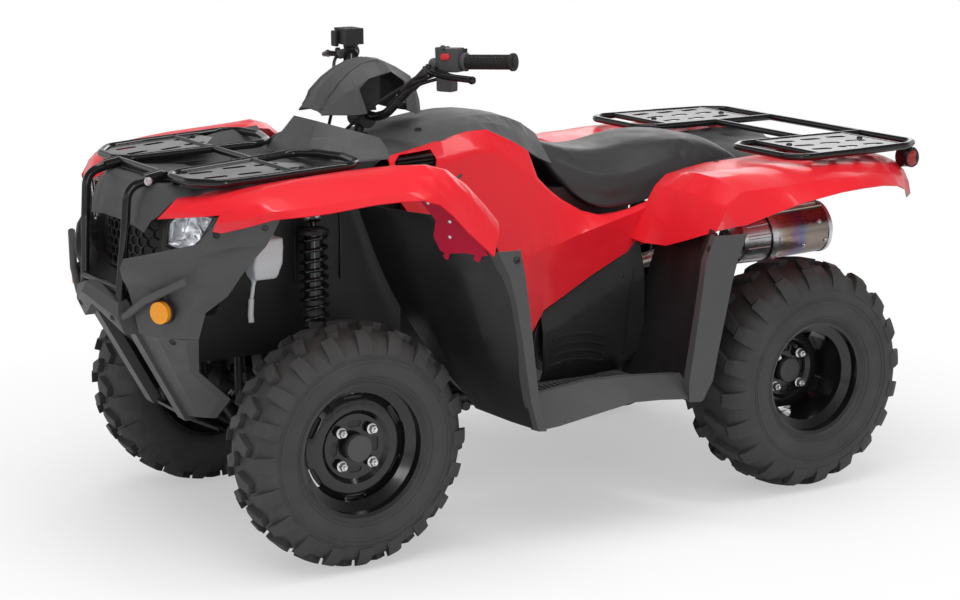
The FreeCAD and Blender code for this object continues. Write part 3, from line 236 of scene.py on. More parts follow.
def prism(bm, outline, depth, bevel=0.0):
    """A flat outline pushed along a depth, with its edges rounded off."""
    low = [bm.verts.new(Vector(p)) for p in outline]
    high = [bm.verts.new(Vector(p) + Vector(depth)) for p in outline]
    count = len(low)
    faces = [bm.faces.new(low[::-1]), bm.faces.new(high)]
    for k, after in enumerate((*range(1, count), 0)):
        faces.append(bm.faces.new((low[k], low[after], high[after], high[k])))
    if bevel:
        edges = list({edge for face in faces for edge in face.edges})
        bmesh.ops.bevel(bm, geom=edges, offset=bevel, segments=2, affect="EDGES", profile=0.6)


def block(bm, centre, along, up, size, bevel=0.0015):
    """A rounded block with its length along one direction and its height near another."""
    centre, along = Vector(centre), Vector(along).normalized()
    side = along.cross(Vector(up)).normalized()
    up = side.cross(along)
    length, width, height = size
    corners = [centre + along * (i * length / 2) + side * (j * width / 2) - up * (height / 2)
               for i, j in ((-1, -1), (1, -1), (1, 1), (-1, 1))]
    prism(bm, corners, up * height, bevel)


STRIP_SECTION = ((-0.5, -0.6), (-0.5, 0.3), (-0.34, 1.0), (0.34, 1.0), (0.5, 0.3), (0.5, -0.6))


def strip(bm, spots, width, height):
    """A raised band with sloped edges through spots on a surface, each a place and the way out there."""
    line = [place for place, _ in spots]
    rings = []
    for k, (here, out) in enumerate(spots):
        side = way_at(line, k).cross(out).normalized()
        rings.append([bm.verts.new(here + side * (s * width) + out * (h * height)) for s, h in STRIP_SECTION])
    join_rings(bm, rings, closed=True)


def sheet_grid(bm, rows):
    """Faces over rows of points."""
    grid = [[bm.verts.new(Vector(p)) for p in row] for row in rows]
    for a, b in zip(grid, grid[1:]):
        for k in range(len(a) - 1):
            bm.faces.new((a[k], a[k + 1], b[k + 1], b[k]))


TREES = {}
TOUCHING = 0.0004


def tree_of(node):
    """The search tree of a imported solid's faces, built once."""
    if node not in TREES:
        mesh = NODES[node].data
        TREES[node] = BVHTree.FromPolygons([v.co for v in mesh.vertices], [p.vertices for p in mesh.polygons])
    return TREES[node]


def on_surface(node, point):
    """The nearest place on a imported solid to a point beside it, and the way out from there."""
    place, normal = tree_of(node).find_nearest(Vector(point))[:2]
    way = Vector(point) - place
    return place, way.normalized() if way.length > TOUCHING else normal


FASTENERS = {
    "hex": [([(-0.4, 0), (-0.4, 1.3), (0.14, 1.3), (0.2, 1.2), (0.2, 0)], 24),
            ([(0.1, 0), (0.1, 1.0), (0.72, 1.0), (0.86, 0.84), (0.86, 0)], 6)],
    "pan": [([(-0.4, 0), (-0.4, 1.0), (0.26, 1.0), (0.48, 0.82), (0.56, 0.48), (0.26, 0.4), (0.26, 0)], 20)],
    "rivet": [([(-0.4, 0), (-0.4, 1.0), (0.12, 1.0), (0.3, 0.72), (0.36, 0)], 16)],
    "nut": [([(-0.3, 0), (-0.3, 1.0), (0.95, 1.0), (1.1, 0.84), (1.1, 0.55), (0.7, 0.55), (1.55, 0.5),
              (1.55, 0)], 6)],
    "plug": [([(-0.4, 0), (-0.4, 1.0), (0.1, 1.0), (0.22, 0.9), (0.16, 0.72), (0.0, 0.66), (0.0, 0)], 20)],
}


def fastener(bm, kind, place, way, radius):
    """A head or nut, whose profiles are in shares of its radius."""
    for profile, steps in FASTENERS[kind]:
        lathe(bm, place, way, [(along * radius, r * radius) for along, r in profile], steps)


def add_piece(name, body, finish, build, smooth=35.0):
    """An object whose mesh a function fills, with its body, its finish and its smoothing angle."""
    def faced_out(bm):
        build(bm)
        bmesh.ops.recalc_face_normals(bm, faces=bm.faces)
    thing = add_object(name, mesh_from(name, faced_out))
    thing.data.materials.append(bpy.data.materials[finish])
    soften(thing, smooth)
    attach(thing, body)


def to_side(point, side):
    """A place on the left, or its mirror image for side -1."""
    return Vector((side * point[0], point[1], point[2]))


def mirrored_points(points, side):
    return [to_side(point, side) for point in points]


# Shader groups

def grain_group():
    """Fine moulded grain: a height for the bump and a small spread of roughness."""
    group, given, result = node_group(
        "moulded grain", "ShaderNodeTree",
        [("Scale", "Float", 900.0), ("Roughness", "Float", 0.5), ("Spread", "Float", 0.08)],
        [("Height", "Float"), ("Roughness", "Float")])
    place = object_place(group)
    cells = add_node(group, "ShaderNodeTexVoronoi", {"Vector": place, "Scale": given["Scale"]},
                     feature="SMOOTH_F1")
    fine = noise_node(group, place, math_node(group, "MULTIPLY", given["Scale"], 2.3))
    height = math_node(group, "ADD", cells.outputs["Distance"], math_node(group, "MULTIPLY", fine, 0.5))
    cloud = ranged(group, noise_node(group, place, 14.0, 4.0), 0.3, 0.7, -1.0, 1.0)
    shift = math_node(group, "MULTIPLY", cloud, given["Spread"])
    rough = math_node(group, "ADD", given["Roughness"], shift, True)
    feed(group, result, {"Height": height, "Roughness": rough})


def dust_group():
    """A light film of dust that lies thicker on faces that look up."""
    group, given, result = node_group(
        "dust film", "ShaderNodeTree",
        [("Color", "Color", (0.1, 0.1, 0.1, 1)), ("Dust", "Color", (0.3, 0.28, 0.25, 1)),
         ("Amount", "Float", 0.1)],
        [("Color", "Color"), ("Mask", "Float")])
    place = object_place(group)
    normal = add_node(group, "ShaderNodeNewGeometry").outputs["Normal"]
    split = add_node(group, "ShaderNodeSeparateXYZ", {0: normal})
    up = ranged(group, split.outputs["Z"], -0.2, 1.0, 0.25, 1.0)
    patches = ranged(group, noise_node(group, place, 9.0, 6.0, 0.65), 0.35, 0.7, 0.2, 1.0)
    specks = ranged(group, noise_node(group, place, 260.0, 2.0), 0.4, 0.7, 0.6, 1.0)
    mask = math_node(group, "MULTIPLY", math_node(group, "MULTIPLY", up, patches), specks)
    mask = math_node(group, "MULTIPLY", mask, given["Amount"], True)
    feed(group, result, {"Color": mixed_colour(group, mask, given["Color"], given["Dust"]), "Mask": mask})


def brushed_group():
    """Streaks along one direction, for drawn and brushed metal."""
    group, given, result = node_group(
        "brushed streaks", "ShaderNodeTree",
        [("Roughness", "Float", 0.3), ("Spread", "Float", 0.12), ("Stretch", "Vector", None)],
        [("Height", "Float"), ("Roughness", "Float")])
    stretched = add_node(group, "ShaderNodeVectorMath", {0: object_place(group), 1: given["Stretch"]},
                         operation="MULTIPLY")
    streaks = noise_node(group, stretched.outputs[0], 1.0, 5.0, 0.7)
    shift = math_node(group, "MULTIPLY", ranged(group, streaks, 0.3, 0.7, -1.0, 1.0), given["Spread"])
    rough = math_node(group, "ADD", given["Roughness"], shift, True)
    feed(group, result, {"Height": streaks, "Roughness": rough})


# Materials

def new_material(name, sockets):
    """A material with values for its shader's own sockets."""
    material = bpy.data.materials.new(name)
    material.use_nodes = True
    tree = material.node_tree
    shader = tree.nodes["Principled BSDF"]
    feed(tree, shader, sockets)
    return material, tree, shader


def placed_group(tree, group, sockets):
    return add_node(tree, "ShaderNodeGroup", sockets, node_tree=bpy.data.node_groups[group]).outputs


def bumped(tree, height, strength, distance):
    sockets = {"Height": height, "Strength": strength, "Distance": distance}
    return add_node(tree, "ShaderNodeBump", sockets).outputs["Normal"]


def moulded(name, colour, roughness, scale, depth, dust, coat=0.0, spread=0.08, metallic=0.0, specular=0.5):
    """A moulded or painted surface: colour under a film of dust, bumped grain and an optional clear coat."""
    tree, shader = new_material(name, {"Metallic": metallic, "Coat Weight": coat, "Coat Roughness": 0.08,
                                       "Specular IOR Level": specular})[1:]
    film = placed_group(tree, "dust film", {"Color": colour, "Amount": dust})
    grain = placed_group(tree, "moulded grain", {"Scale": scale, "Roughness": roughness, "Spread": spread})
    dulled = math_node(tree, "MULTIPLY", film["Mask"], 0.4)
    feed(tree, shader, {
        "Base Color": film["Color"], "Normal": bumped(tree, grain["Height"], 1.0, depth),
        "Roughness": math_node(tree, "ADD", grain["Roughness"], dulled, True)})


def brushed(name, colour, tint, roughness, stretch, metallic=1.0):
    """Bare metal with streaks and cloudy patches of a second tint."""
    material, tree, shader = new_material(name, {"Metallic": metallic})
    patches = ranged(tree, noise_node(tree, object_place(tree), 11.0, 5.0), 0.35, 0.65, 0.0, 1.0)
    streaks = placed_group(tree, "brushed streaks", {"Roughness": roughness, "Stretch": stretch})
    feed(tree, shader, {
        "Base Color": mixed_colour(tree, patches, colour, tint), "Roughness": streaks["Roughness"],
        "Normal": bumped(tree, streaks["Height"], 0.4, 0.0002)})
    return material


def lens(name, colour, roughness=0.04, ior=1.5, clear=1.0):
    """Clear or coloured glass with a faint haze."""
    tree, shader = new_material(name, {"Base Color": colour, "Transmission Weight": clear, "IOR": ior})[1:]
    haze = noise_node(tree, object_place(tree), 40.0, 4.0)
    feed(tree, shader, {"Roughness": ranged(tree, haze, 0.3, 0.7, roughness, roughness + 0.05)})


TINTS = [(0.0, (0.6, 0.6, 0.61, 1)), (0.4, (0.58, 0.58, 0.59, 1)), (0.48, (0.4, 0.3, 0.2, 1)),
         (0.55, (0.26, 0.17, 0.26, 1)), (0.63, (0.18, 0.2, 0.32, 1)), (0.72, (0.3, 0.25, 0.22, 1)),
         (1.0, (0.24, 0.2, 0.18, 1))]


def tinted_steel():
    """Stainless steel whose colour runs from bright to gold, purple, blue and brown along the silencer."""
    material = brushed("tinted steel", (0.5, 0.5, 0.5, 1), (0.4, 0.4, 0.4, 1), 0.27, (60.0, 9.0, 60.0))
    tree = material.node_tree
    place = object_place(tree)
    split = add_node(tree, "ShaderNodeSeparateXYZ", {0: place})
    cloud = ranged(tree, noise_node(tree, place, 16.0, 4.0), 0.3, 0.7, -0.05, 0.05)
    share = ranged(tree, split.outputs["Y"], MUFFLER[0].y, MUFFLER[1].y, 0.0, 1.0)
    ramp = add_node(tree, "ShaderNodeValToRGB", {"Fac": math_node(tree, "ADD", share, cloud, True)})
    band = ramp.color_ramp
    for index, (spot, colour) in enumerate(TINTS):
        stop = band.elements[index] if index < 2 else band.elements.new(spot)
        stop.position, stop.color = spot, colour
    feed(tree, tree.nodes["Principled BSDF"], {"Base Color": ramp.outputs["Color"]})


def make_materials(settings):
    for group in (grain_group, dust_group, brushed_group):
        group()
    dust = settings.dust
    moulded("red gloss plastic", (*settings.red, 1), 0.34, 260.0, 0.00003, 0.25 * dust, coat=0.25,
            spread=0.03, specular=0.28)
    moulded("dark grey plastic", (*settings.grey, 1), 0.52, 900.0, 0.00022, dust)
    moulded("black plastic", (0.01, 0.01, 0.011, 1), 0.46, 700.0, 0.00018, dust)
    moulded("gloss black paint", (0.006, 0.006, 0.007, 1), 0.2, 240.0, 0.00004, 0.4 * dust, coat=0.3,
            spread=0.04, specular=0.4)
    moulded("satin black paint", (0.013, 0.013, 0.014, 1), 0.42, 420.0, 0.0001, dust)
    # The tyres take three times the dust film, which lightens their upward faces most.
    moulded("tyre rubber", (0.03, 0.03, 0.031, 1), 0.62, 1100.0, 0.0002, 3.0 * dust, spread=0.1)
    moulded("grip rubber", (0.012, 0.012, 0.012, 1), 0.6, 1200.0, 0.0002, dust)
    moulded("seat vinyl", (0.026, 0.026, 0.027, 1), 0.46, 520.0, 0.0003, 0.7 * dust)
    moulded("cast metal", (0.1, 0.1, 0.105, 1), 0.45, 600.0, 0.0003, dust, metallic=0.7)
    moulded("white bottle plastic", (0.62, 0.66, 0.68, 1), 0.4, 300.0, 0.0001, 0.5 * dust)
    moulded("switch red", (0.55, 0.02, 0.02, 1), 0.35, 300.0, 0.0001, dust)
    moulded("red in shade", (0.46, 0.003, 0.035, 1), 0.4, 260.0, 0.00003, 0.25 * dust, spread=0.03,
            specular=0.2)
    brushed("exhaust steel", (0.55, 0.53, 0.5, 1), (0.42, 0.36, 0.29, 1), 0.34, (6.0, 60.0, 6.0))
    brushed("bright steel", (0.78, 0.78, 0.79, 1), (0.64, 0.64, 0.66, 1), 0.34, (300.0, 40.0, 300.0))
    brushed("dark lever metal", (0.05, 0.05, 0.052, 1), (0.035, 0.035, 0.037, 1), 0.35, (60.0, 60.0, 60.0))
    brushed("reflector chrome", (0.9, 0.91, 0.93, 1), (0.8, 0.81, 0.83, 1), 0.17, (30.0, 30.0, 30.0), 0.8)
    lens("clear lens", (0.93, 0.95, 0.97, 1), 0.02, 1.08)
    lens("bulb glass", (0.95, 0.96, 0.98, 1), 0.02)
    lens("red lens", (0.45, 0.03, 0.03, 1), 0.12, clear=0.3)
    lens("amber lens", (0.95, 0.36, 0.01, 1), 0.15, clear=0.2)
    tinted_steel()


FINISH_OF_SLOT = {
    "red_plastic": "red gloss plastic", "grey_plastic": "dark grey plastic", "black_plastic": "black plastic",
    "black_steel": "gloss black paint", "frame_steel": "satin black paint",
    "shock_steel": "gloss black paint", "lever_metal": "dark lever metal", "engine_metal": "cast metal",
    "exhaust_steel": "exhaust steel", "tyre_rubber": "tyre rubber", "grip_rubber": "grip rubber",
    "seat_cover": "seat vinyl", "lamp_clear": "clear lens", "lamp_red": "red lens",
    "lamp_amber": "amber lens", "bottle_white": "white bottle plastic",
}

SMOOTHING = {"handlebar_cowl": 60.0, "tank_cover": 50.0, "front_fenders": 30.0, "rear_fenders": 30.0,
             "side_panels": 26.0, "column_shroud": 40.0, "footwell_guards": 40.0}


def finish_nodes():
    """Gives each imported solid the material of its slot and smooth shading."""
    slots = {part["node"]: part["material_slot"] for part in frame["record"]["subparts"]}
    for name, node in NODES.items():
        node.data.materials.clear()
        finish = "tinted steel" if name == "muffler" else FINISH_OF_SLOT[slots[name]]
        node.data.materials.append(bpy.data.materials[finish])
        soften(node, SMOOTHING.get(name, 32.0))


# Filing of pieces

SIDES = (1, -1)
GROUPS = {}


def piece(group, slot, finish=None, smooth=35.0, body="root", mirrored=True):
    """Files the function under it as the builder of the piece of its name, called for each side or once."""
    def keep(build):
        row = (body, slot, finish or FINISH_OF_SLOT[slot], build, smooth)
        GROUPS.setdefault(group, []).append((row, mirrored))
        return build
    return keep


def make_group(group):
    """Makes the pieces filed under a group, in their order."""
    for (body, slot, finish, build, smooth), mirrored in GROUPS[group]:
        calls = [(side,) for side in SIDES] if mirrored else [()]

        def filled(bm):
            for given in calls:
                build(bm, *given)
        add_piece(build.__name__, body, finish, filled, smooth)


# Saddle

CLOTH_FRAMES = 20
SADDLE_VOXEL = 0.007
PINNED_FOOT = 0.02
UNDERSIDE = -0.6


def finish_skin(skin, body, material):
    """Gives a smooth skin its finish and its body."""
    skin.data.materials.clear()
    skin.data.materials.append(bpy.data.materials[material])
    for face in skin.data.polygons:
        face.use_smooth = True
    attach(skin, body)


def remeshed(source, name, voxel, shrink):
    """A copy of a solid as an even skin, drawn in along its normals."""
    skin = add_object(name, source.data.copy())
    remesh = skin.modifiers.new("remesh", "REMESH")
    remesh.mode = "VOXEL"
    remesh.voxel_size = voxel
    smooth = skin.modifiers.new("smooth", "SMOOTH")
    smooth.iterations = 12
    draw_in = skin.modifiers.new("draw in", "DISPLACE")
    draw_in.strength = -shrink
    draw_in.mid_level = 0.0
    apply_modifiers(skin)
    return skin


def apply_modifiers(skin):
    """Keeps the evaluated mesh and drops the modifiers."""
    graph = bpy.context.evaluated_depsgraph_get()
    mesh = bpy.data.meshes.new_from_object(skin.evaluated_get(graph))
    skin.modifiers.clear()
    skin.data = mesh


def inflate(skin, pressure, pin, cap):
    """Blows a pad up as cloth, holding its base, and limits how far any point may go."""
    before = [v.co.copy() for v in skin.data.vertices]
    group = skin.vertex_groups.new(name="base")
    group.add([v.index for v in skin.data.vertices if pin(v)], 1.0, "REPLACE")
    cloth = skin.modifiers.new("cloth", "CLOTH")
    cloth.settings.use_pressure = True
    cloth.settings.uniform_pressure_force = pressure
    cloth.settings.effector_weights.gravity = 0.0
    cloth.settings.vertex_group_mass = "base"
    cloth.settings.quality = 4
    cloth.collision_settings.use_collision = False
    for frame_number in range(1, CLOTH_FRAMES + 1):
        bpy.context.scene.frame_set(frame_number)
    apply_modifiers(skin)
    bpy.context.scene.frame_set(1)
    for vertex, old in zip(skin.data.vertices, before):
        move = vertex.co - old
        if move.length > cap:
            vertex.co = old + move * (cap / move.length)


def make_saddle(settings):
    """The padded saddle in place of its firm solid."""
    skin = remeshed(NODES["seat"], "saddle", SADDLE_VOXEL, settings.shrink)
    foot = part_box("seat")[0].z + PINNED_FOOT
    inflate(skin, settings.pressure, lambda v: v.co.z < foot or v.normal.z < UNDERSIDE, settings.cap)
    relax = skin.modifiers.new("relax", "SMOOTH")
    relax.iterations = 6
    fine = skin.modifiers.new("fine", "SUBSURF")
    fine.levels = fine.render_levels = 1
    finish_skin(skin, "root", "seat vinyl")
    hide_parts("seat")


# Suspension

SHOCK_TOP = Vector((0.225, -0.595, 0.78))
SHOCK_FOOT = Vector((0.268, -0.616, 0.392))


def shock_line(side):
    """The foot and top of a front shock, and the way up along it."""
    foot, top = mirrored_points((SHOCK_FOOT, SHOCK_TOP), side)
    return foot, top, (top - foot).normalized()


STEPS_PER_TURN = 22
EASING = 1.08


def coil(bm, foot, way, low, high, turns, radius, wire):
    """A coil spring whose turns lie a little closer in its middle than at its ends."""
    turn = way.to_track_quat("Z", "Y").to_matrix()
    count = int(turns * STEPS_PER_TURN)
    line = []
    for k in range(count + 1):
        share = k / count
        eased = share + EASING / turns * sin(tau * share) / tau
        angle = tau * turns * share
        along = low + (high - low) * min(max(eased, 0), 1)
        line.append(foot + turn @ Vector((radius * cos(angle), radius * sin(angle), along)))
    sweep(bm, line, wire, 8)


@piece("suspension", "shock_steel", smooth=60)
def shock_springs(bm, side):
    foot, top, way = shock_line(side)
    coil(bm, foot, way, 0.124, (top - foot).length - 0.046, 9.5, 0.03, 0.0048)


@piece("suspension", "shock_steel", "satin black paint")
def spring_seats(bm, side):
    foot, top, way = shock_line(side)
    lathe(bm, foot + way * 0.112, way,
          [(0, 0.022), (0, 0.036), (0.006, 0.037), (0.012, 0.033), (0.012, 0.022)], 36)
    lathe(bm, top - way * 0.044, way,
          [(0, 0.022), (0, 0.033), (0.008, 0.037), (0.014, 0.034), (0.02, 0.02)], 36)
    for along in (0.134, 0.158, 0.182):
        lathe(bm, foot + way * along, way, [(0, 0.0235), (0.002, 0.0262), (0.014, 0.0262), (0.016, 0.0235)])


@piece("suspension", "lever_metal", "bright steel")
def shock_bolts(bm, side):
    foot, top = shock_line(side)[:2]
    fastener(bm, "hex", top + Vector((0, -0.016, 0)), (0, -1, 0), 0.008)
    fastener(bm, "hex", foot + Vector((0, -0.028, 0)), (0, -1, 0), 0.008)
    fastener(bm, "nut", top + Vector((side * 0.016, 0, 0.004)), (side, 0, 0.1), 0.007)


@piece("suspension", "shock_steel", smooth=60, mirrored=False)
def rear_shock_spring(bm):
    foot, top = Vector((0, 0.5, 0.345)), Vector((0, 0.52, 0.655))
    coil(bm, foot, (top - foot).normalized(), 0.036, 0.244, 6.5, 0.0405, 0.0058)


# Wheels

NUT_CIRCLE = 0.055
OUTSIDE = 0.9
RING_STEPS = 96


class Wheel:
    """One wheel's side, its middle and the names of what it is made of."""

    def __init__(self, end, side):
        hand = "left" if side > 0 else "right"
        front = end == "front"
        self.side, self.out = side, Vector((side, 0, 0))
        self.tag = end + "_" + hand
        self.body = "wheel_front_" + hand if front else "rear_wheels"
        self.tyre, self.rim, self.hub = (
            [kind + "_front_" + hand for kind in ("tyre", "rim", "hub")] if front
            else ("tyres_rear", "rims_rear", "rear_axle"))
        self.centre = FRONT_WHEEL if front else REAR_WHEEL
        self.bead = 0.152 if front else 0.14

    def at(self, x, radius=0.0, angle=0.0):
        """A place at a distance from the middle plane, and round the wheel's axis."""
        return Vector((x, self.centre.y + radius * cos(angle), self.centre.z + radius * sin(angle)))

    def met(self, node, radius=0.0, angle=0.0):
        """Where a line from outside, along the axis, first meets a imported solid."""
        return wall(node, self.at(self.side * OUTSIDE, radius, angle), -self.out)


def wall(node, start, way):
    """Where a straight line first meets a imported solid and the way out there, or else its start."""
    place, normal = tree_of(node).ray_cast(start, way)[:2]
    if place is None:
        return start, -way
    return place, normal if normal.dot(way) < 0 else -normal


def sidewall_rings(bm, wheel):
    for past_bead, width, height in ((0.012, 0.004, 0.0014), (0.021, 0.003, 0.0012), (0.06, 0.006, 0.0016),
                                     (0.068, 0.003, 0.001)):
        spots = [wheel.met(wheel.tyre, wheel.bead + past_bead, tau * k / RING_STEPS)
                 for k in range(RING_STEPS)]
        strip(bm, spots + spots[:1], width, height)


def wheel_nuts(bm, wheel):
    face = wheel.met(wheel.hub, NUT_CIRCLE, radians(45))[0].x - wheel.side * 0.002
    for k in range(4):
        place = wheel.at(face, NUT_CIRCLE, radians(90 * k + 45))
        lathe(bm, place, wheel.out, [(0, 0), (0, 0.0125), (0.003, 0.0125), (0.004, 0.0105), (0.004, 0)], 24)
        lathe(bm, place, wheel.out, [(0.003, 0), (0.003, 0.0102), (0.013, 0.0102), (0.0152, 0.0084),
                                     (0.0152, 0.0052), (0.021, 0.005), (0.022, 0.004), (0.022, 0)], 6)


def hub_cap(bm, wheel):
    place = wheel.at(wheel.met(wheel.hub)[0].x) - wheel.out * 0.012
    lathe(bm, place, wheel.out, [(0, 0.03), (0, 0.0325), (0.008, 0.0325), (0.012, 0.031), (0.014, 0.026),
                                 (0.0145, 0.012), (0.0135, 0.01), (0.0135, 0)], 40)


def drum(bm, wheel):
    face = wheel.met(wheel.rim, 0.098, pi / 2)[0].x - wheel.side * 0.014
    lathe(bm, wheel.at(face), wheel.out,
          [(-0.002, 0.03), (-0.002, 0.118), (0, 0.12), (0.002, 0.118), (0.003, 0.03)], 48)


def valve(bm, wheel):
    seat = wheel.met(wheel.rim, wheel.bead - 0.014, 2.2)[0]
    lathe(bm, seat - wheel.out * 0.004, wheel.out + Vector((0, 0.2, -0.3)),
          [(0, 0), (0, 0.0075), (0.01, 0.006), (0.026, 0.0045), (0.027, 0.0052), (0.036, 0.0052),
           (0.038, 0.004), (0.038, 0)], 16)


WHEEL_PIECES = (
    (sidewall_rings, "tyre_rubber", "tyre rubber", 50), (wheel_nuts, "lever_metal", "bright steel", 35),
    (hub_cap, "grey_plastic", "dark grey plastic", 35), (drum, "frame_steel", "satin black paint", 35),
    (valve, "grip_rubber", "grip rubber", 35))


def make_wheels():
    """The pieces of each wheel, on its own turning body; only the front ones have brake drums."""
    for end in ("front", "rear"):
        for side in SIDES:
            wheel = Wheel(end, side)
            for build, slot, finish, smooth in WHEEL_PIECES:
                if end == "front" or build is not drum:
                    name = build.__name__ + "_" + wheel.tag
                    add_piece(name, wheel.body, finish, lambda bm: build(bm, wheel), smooth)


# Lamps

LAMP_OUTLINE = [(0.214, 0.748), (0.282, 0.735), (0.326, 0.772), (0.37, 0.828), (0.262, 0.826), (0.222, 0.796)]
BOWLS = ((0.276, 0.776, 0.024), (0.322, 0.806, 0.018))
TAIL_LAMP = (0.4205, 1.05, 0.808)


def lamp_front(x):
    """How far forward the lamp's lens is at a distance from the middle plane."""
    return -0.957 + 0.3 * (x - 0.205)


def bowl_axis(side, x, z):
    """The back of a headlight's bowl and the way that it faces."""
    return Vector((side * x, lamp_front(x) + 0.04, z)), Vector((side * 0.287, -0.958, 0))


@piece("lamps", "lamp_clear", "reflector chrome", 20)
def headlight_reflectors(bm, side):
    middle = sum((Vector(spot) for spot in LAMP_OUTLINE), Vector((0, 0))) / len(LAMP_OUTLINE)
    rings = []
    for share, depth in ((0.99, 0.003), (0.96, 0.012), (0.82, 0.024), (0.42, 0.036)):
        ring = []
        for x, z in LAMP_OUTLINE:
            u, w = middle.x + (x - middle.x) * share, middle.y + (z - middle.y) * share
            ring.append(bm.verts.new((side * u, lamp_front(u) + depth, w)))
        rings.append(ring)
    join_rings(bm, rings)
    bm.faces.new(rings[-1])
    for k in range(5):
        x, low, high = 0.222 + 0.007 * k, 0.752 + 0.004 * k, 0.8 + 0.004 * k
        front = lamp_front(x) + 0.006
        prism(bm, [(side * x, front, low), (side * (x + 0.0035), front, low),
                   (side * (x + 0.0155), front + 0.002, high), (side * (x + 0.012), front + 0.002, high)],
              (0, 0.008, 0), 0.0006)


@piece("lamps", "lamp_clear", "reflector chrome", 50)
def headlight_bowls(bm, side):
    for x, z, radius in BOWLS:
        profile = [(0, 0), (0.002, 0.35), (0.008, 0.68), (0.02, 0.96), (0.026, 1.06), (0.024, 1.1),
                   (0.006, 0.76), (-0.002, 0)]
        lathe(bm, *bowl_axis(side, x, z), [(along, share * radius) for along, share in profile], 40)


@piece("lamps", "lamp_clear", "bulb glass", 50)
def headlight_bulbs(bm, side):
    for x, z, _ in BOWLS:
        lathe(bm, *bowl_axis(side, x, z),
              [(0, 0), (0, 0.006), (0.01, 0.007), (0.017, 0.006), (0.021, 0.003), (0.022, 0)], 24)


@piece("lamps", "black_plastic", smooth=50)
def headlight_seals(bm, side):
    line = [Vector((side * x, lamp_front(x) - 0.0012, z)) for x, z in LAMP_OUTLINE]
    for a, b in zip(line, line[1:] + line[:1]):
        sweep(bm, [a, b], 0.0022, 8)


@piece("lamps", "lamp_red", smooth=50)
def tail_lamp_side_lenses(bm, side):
    lathe(bm, to_side(TAIL_LAMP, side), (side, 0.12, 0),
          [(-0.004, 0), (-0.004, 0.0205), (0.0035, 0.0205), (0.0065, 0.0165), (0.008, 0.009),
           (0.0084, 0)], 40)


@piece("lamps", "black_plastic")
def tail_lamp_rings(bm, side):
    lathe(bm, to_side(TAIL_LAMP, side), (side, 0.12, 0),
          [(-0.006, 0.0208), (-0.006, 0.0242), (0.0035, 0.0242), (0.0045, 0.0224), (0.0035, 0.0208)], 40)
    lathe(bm, (side * 0.4035, 1.0655, 0.808), (side * 0.1, 0.99, 0),
          [(-0.012, 0.0222), (-0.012, 0.0252), (0.004, 0.0256), (0.006, 0.0236), (0.0045, 0.0218)], 40)


@piece("lamps", "black_plastic")
def reflector_holders(bm, side):
    way = Vector((side * 0.44, -0.8, 0)).normalized()
    place = Vector((side * 0.262, -1.0, 0.604)) - way * 0.013
    lathe(bm, place, way,
          [(-0.012, 0.0252), (-0.012, 0.0285), (0.001, 0.0285), (0.002, 0.0262), (0.0005, 0.0252)], 40)
    block(bm, place + Vector((-side * 0.002, 0.006, 0.034)), (side, 0.5, 0), (0, 0, 1), (0.02, 0.006, 0.016))


# Controls

BAR_WAY = (0.88, 0.47, 0.05)
UP = (0, 0, 1)


def bar_place(side, share):
    """A point on the grip run of the bar and the way out along it."""
    a, b = Vector((side * 0.25, -0.24, 1.117)), Vector((side * 0.396, -0.16, 1.125))
    return a.lerp(b, share), (b - a).normalized()


@piece("controls", "grip_rubber", smooth=50, body="steering")
def grip_ribs(bm, side):
    for k in range(16):
        place, way = bar_place(side, 0.31 + 0.043 * k)
        lathe(bm, place, way, [(-0.0016, 0.0155), (-0.001, 0.0172), (0.001, 0.0172), (0.0016, 0.0155)], 28)
    start, way = bar_place(side, 0.3)
    end = bar_place(side, 0.97)[0]
    for k in range(18):
        off = Matrix.Rotation(tau * k / 18, 3, way) @ way.orthogonal().normalized() * 0.0166
        sweep(bm, [start + off, end + off], 0.001, 6)


@piece("controls", "grip_rubber", body="steering")
def bar_ends(bm, side):
    lathe(bm, *bar_place(side, 1.0),
          [(0.004, 0), (0.004, 0.012), (0.009, 0.012), (0.0115, 0.009), (0.012, 0)], 28)


@piece("controls", "black_plastic", "dark grey plastic", body="steering", mirrored=False)
def switch_housings(bm):
    block(bm, (0.228, -0.247, 1.1215), (0.93, 0.36, 0.05), UP, (0.016, 0.04, 0.06), 0.003)
    block(bm, (0.262, -0.243, 1.123), BAR_WAY, UP, (0.052, 0.038, 0.056), 0.004)
    lathe(bm, (0.282, -0.222, 1.119), BAR_WAY,
          [(0, 0), (0, 0.0215), (0.007, 0.0225), (0.01, 0.019), (0.01, 0)], 36)
    block(bm, (0.272, -0.262, 1.071), (0.88, 0.47, 0), UP, (0.044, 0.03, 0.04), 0.006)
    lathe(bm, (0.262, -0.266, 1.153), (0.45, -0.85, 0.2),
          [(0, 0), (0, 0.006), (0.005, 0.0055), (0.007, 0)], 20)
    for side in SIDES:
        lathe(bm, (side * 0.213, -0.258, 1.104), (side * 0.88, 0.47, 0.05),
              [(-0.01, 0.0115), (-0.01, 0.019), (-0.006, 0.0205), (0.006, 0.0205), (0.01, 0.019),
               (0.01, 0.0115)])
        block(bm, (side * 0.222, -0.276, 1.098), (0.2 * side, -1, -0.1), UP, (0.034, 0.026, 0.022), 0.004)


@piece("controls", "black_plastic", body="steering", mirrored=False)
def reservoir_lid(bm):
    block(bm, (-0.226, -0.262, 1.159), (1, 0, 0), UP, (0.058, 0.048, 0.006), 0.003)
    block(bm, (-0.243, -0.289, 1.135), (1, 0, 0), UP, (0.028, 0.01, 0.04), 0.004)
    for x in (-0.246, -0.206):
        fastener(bm, "pan", (x, -0.262, 1.1612), UP, 0.003)


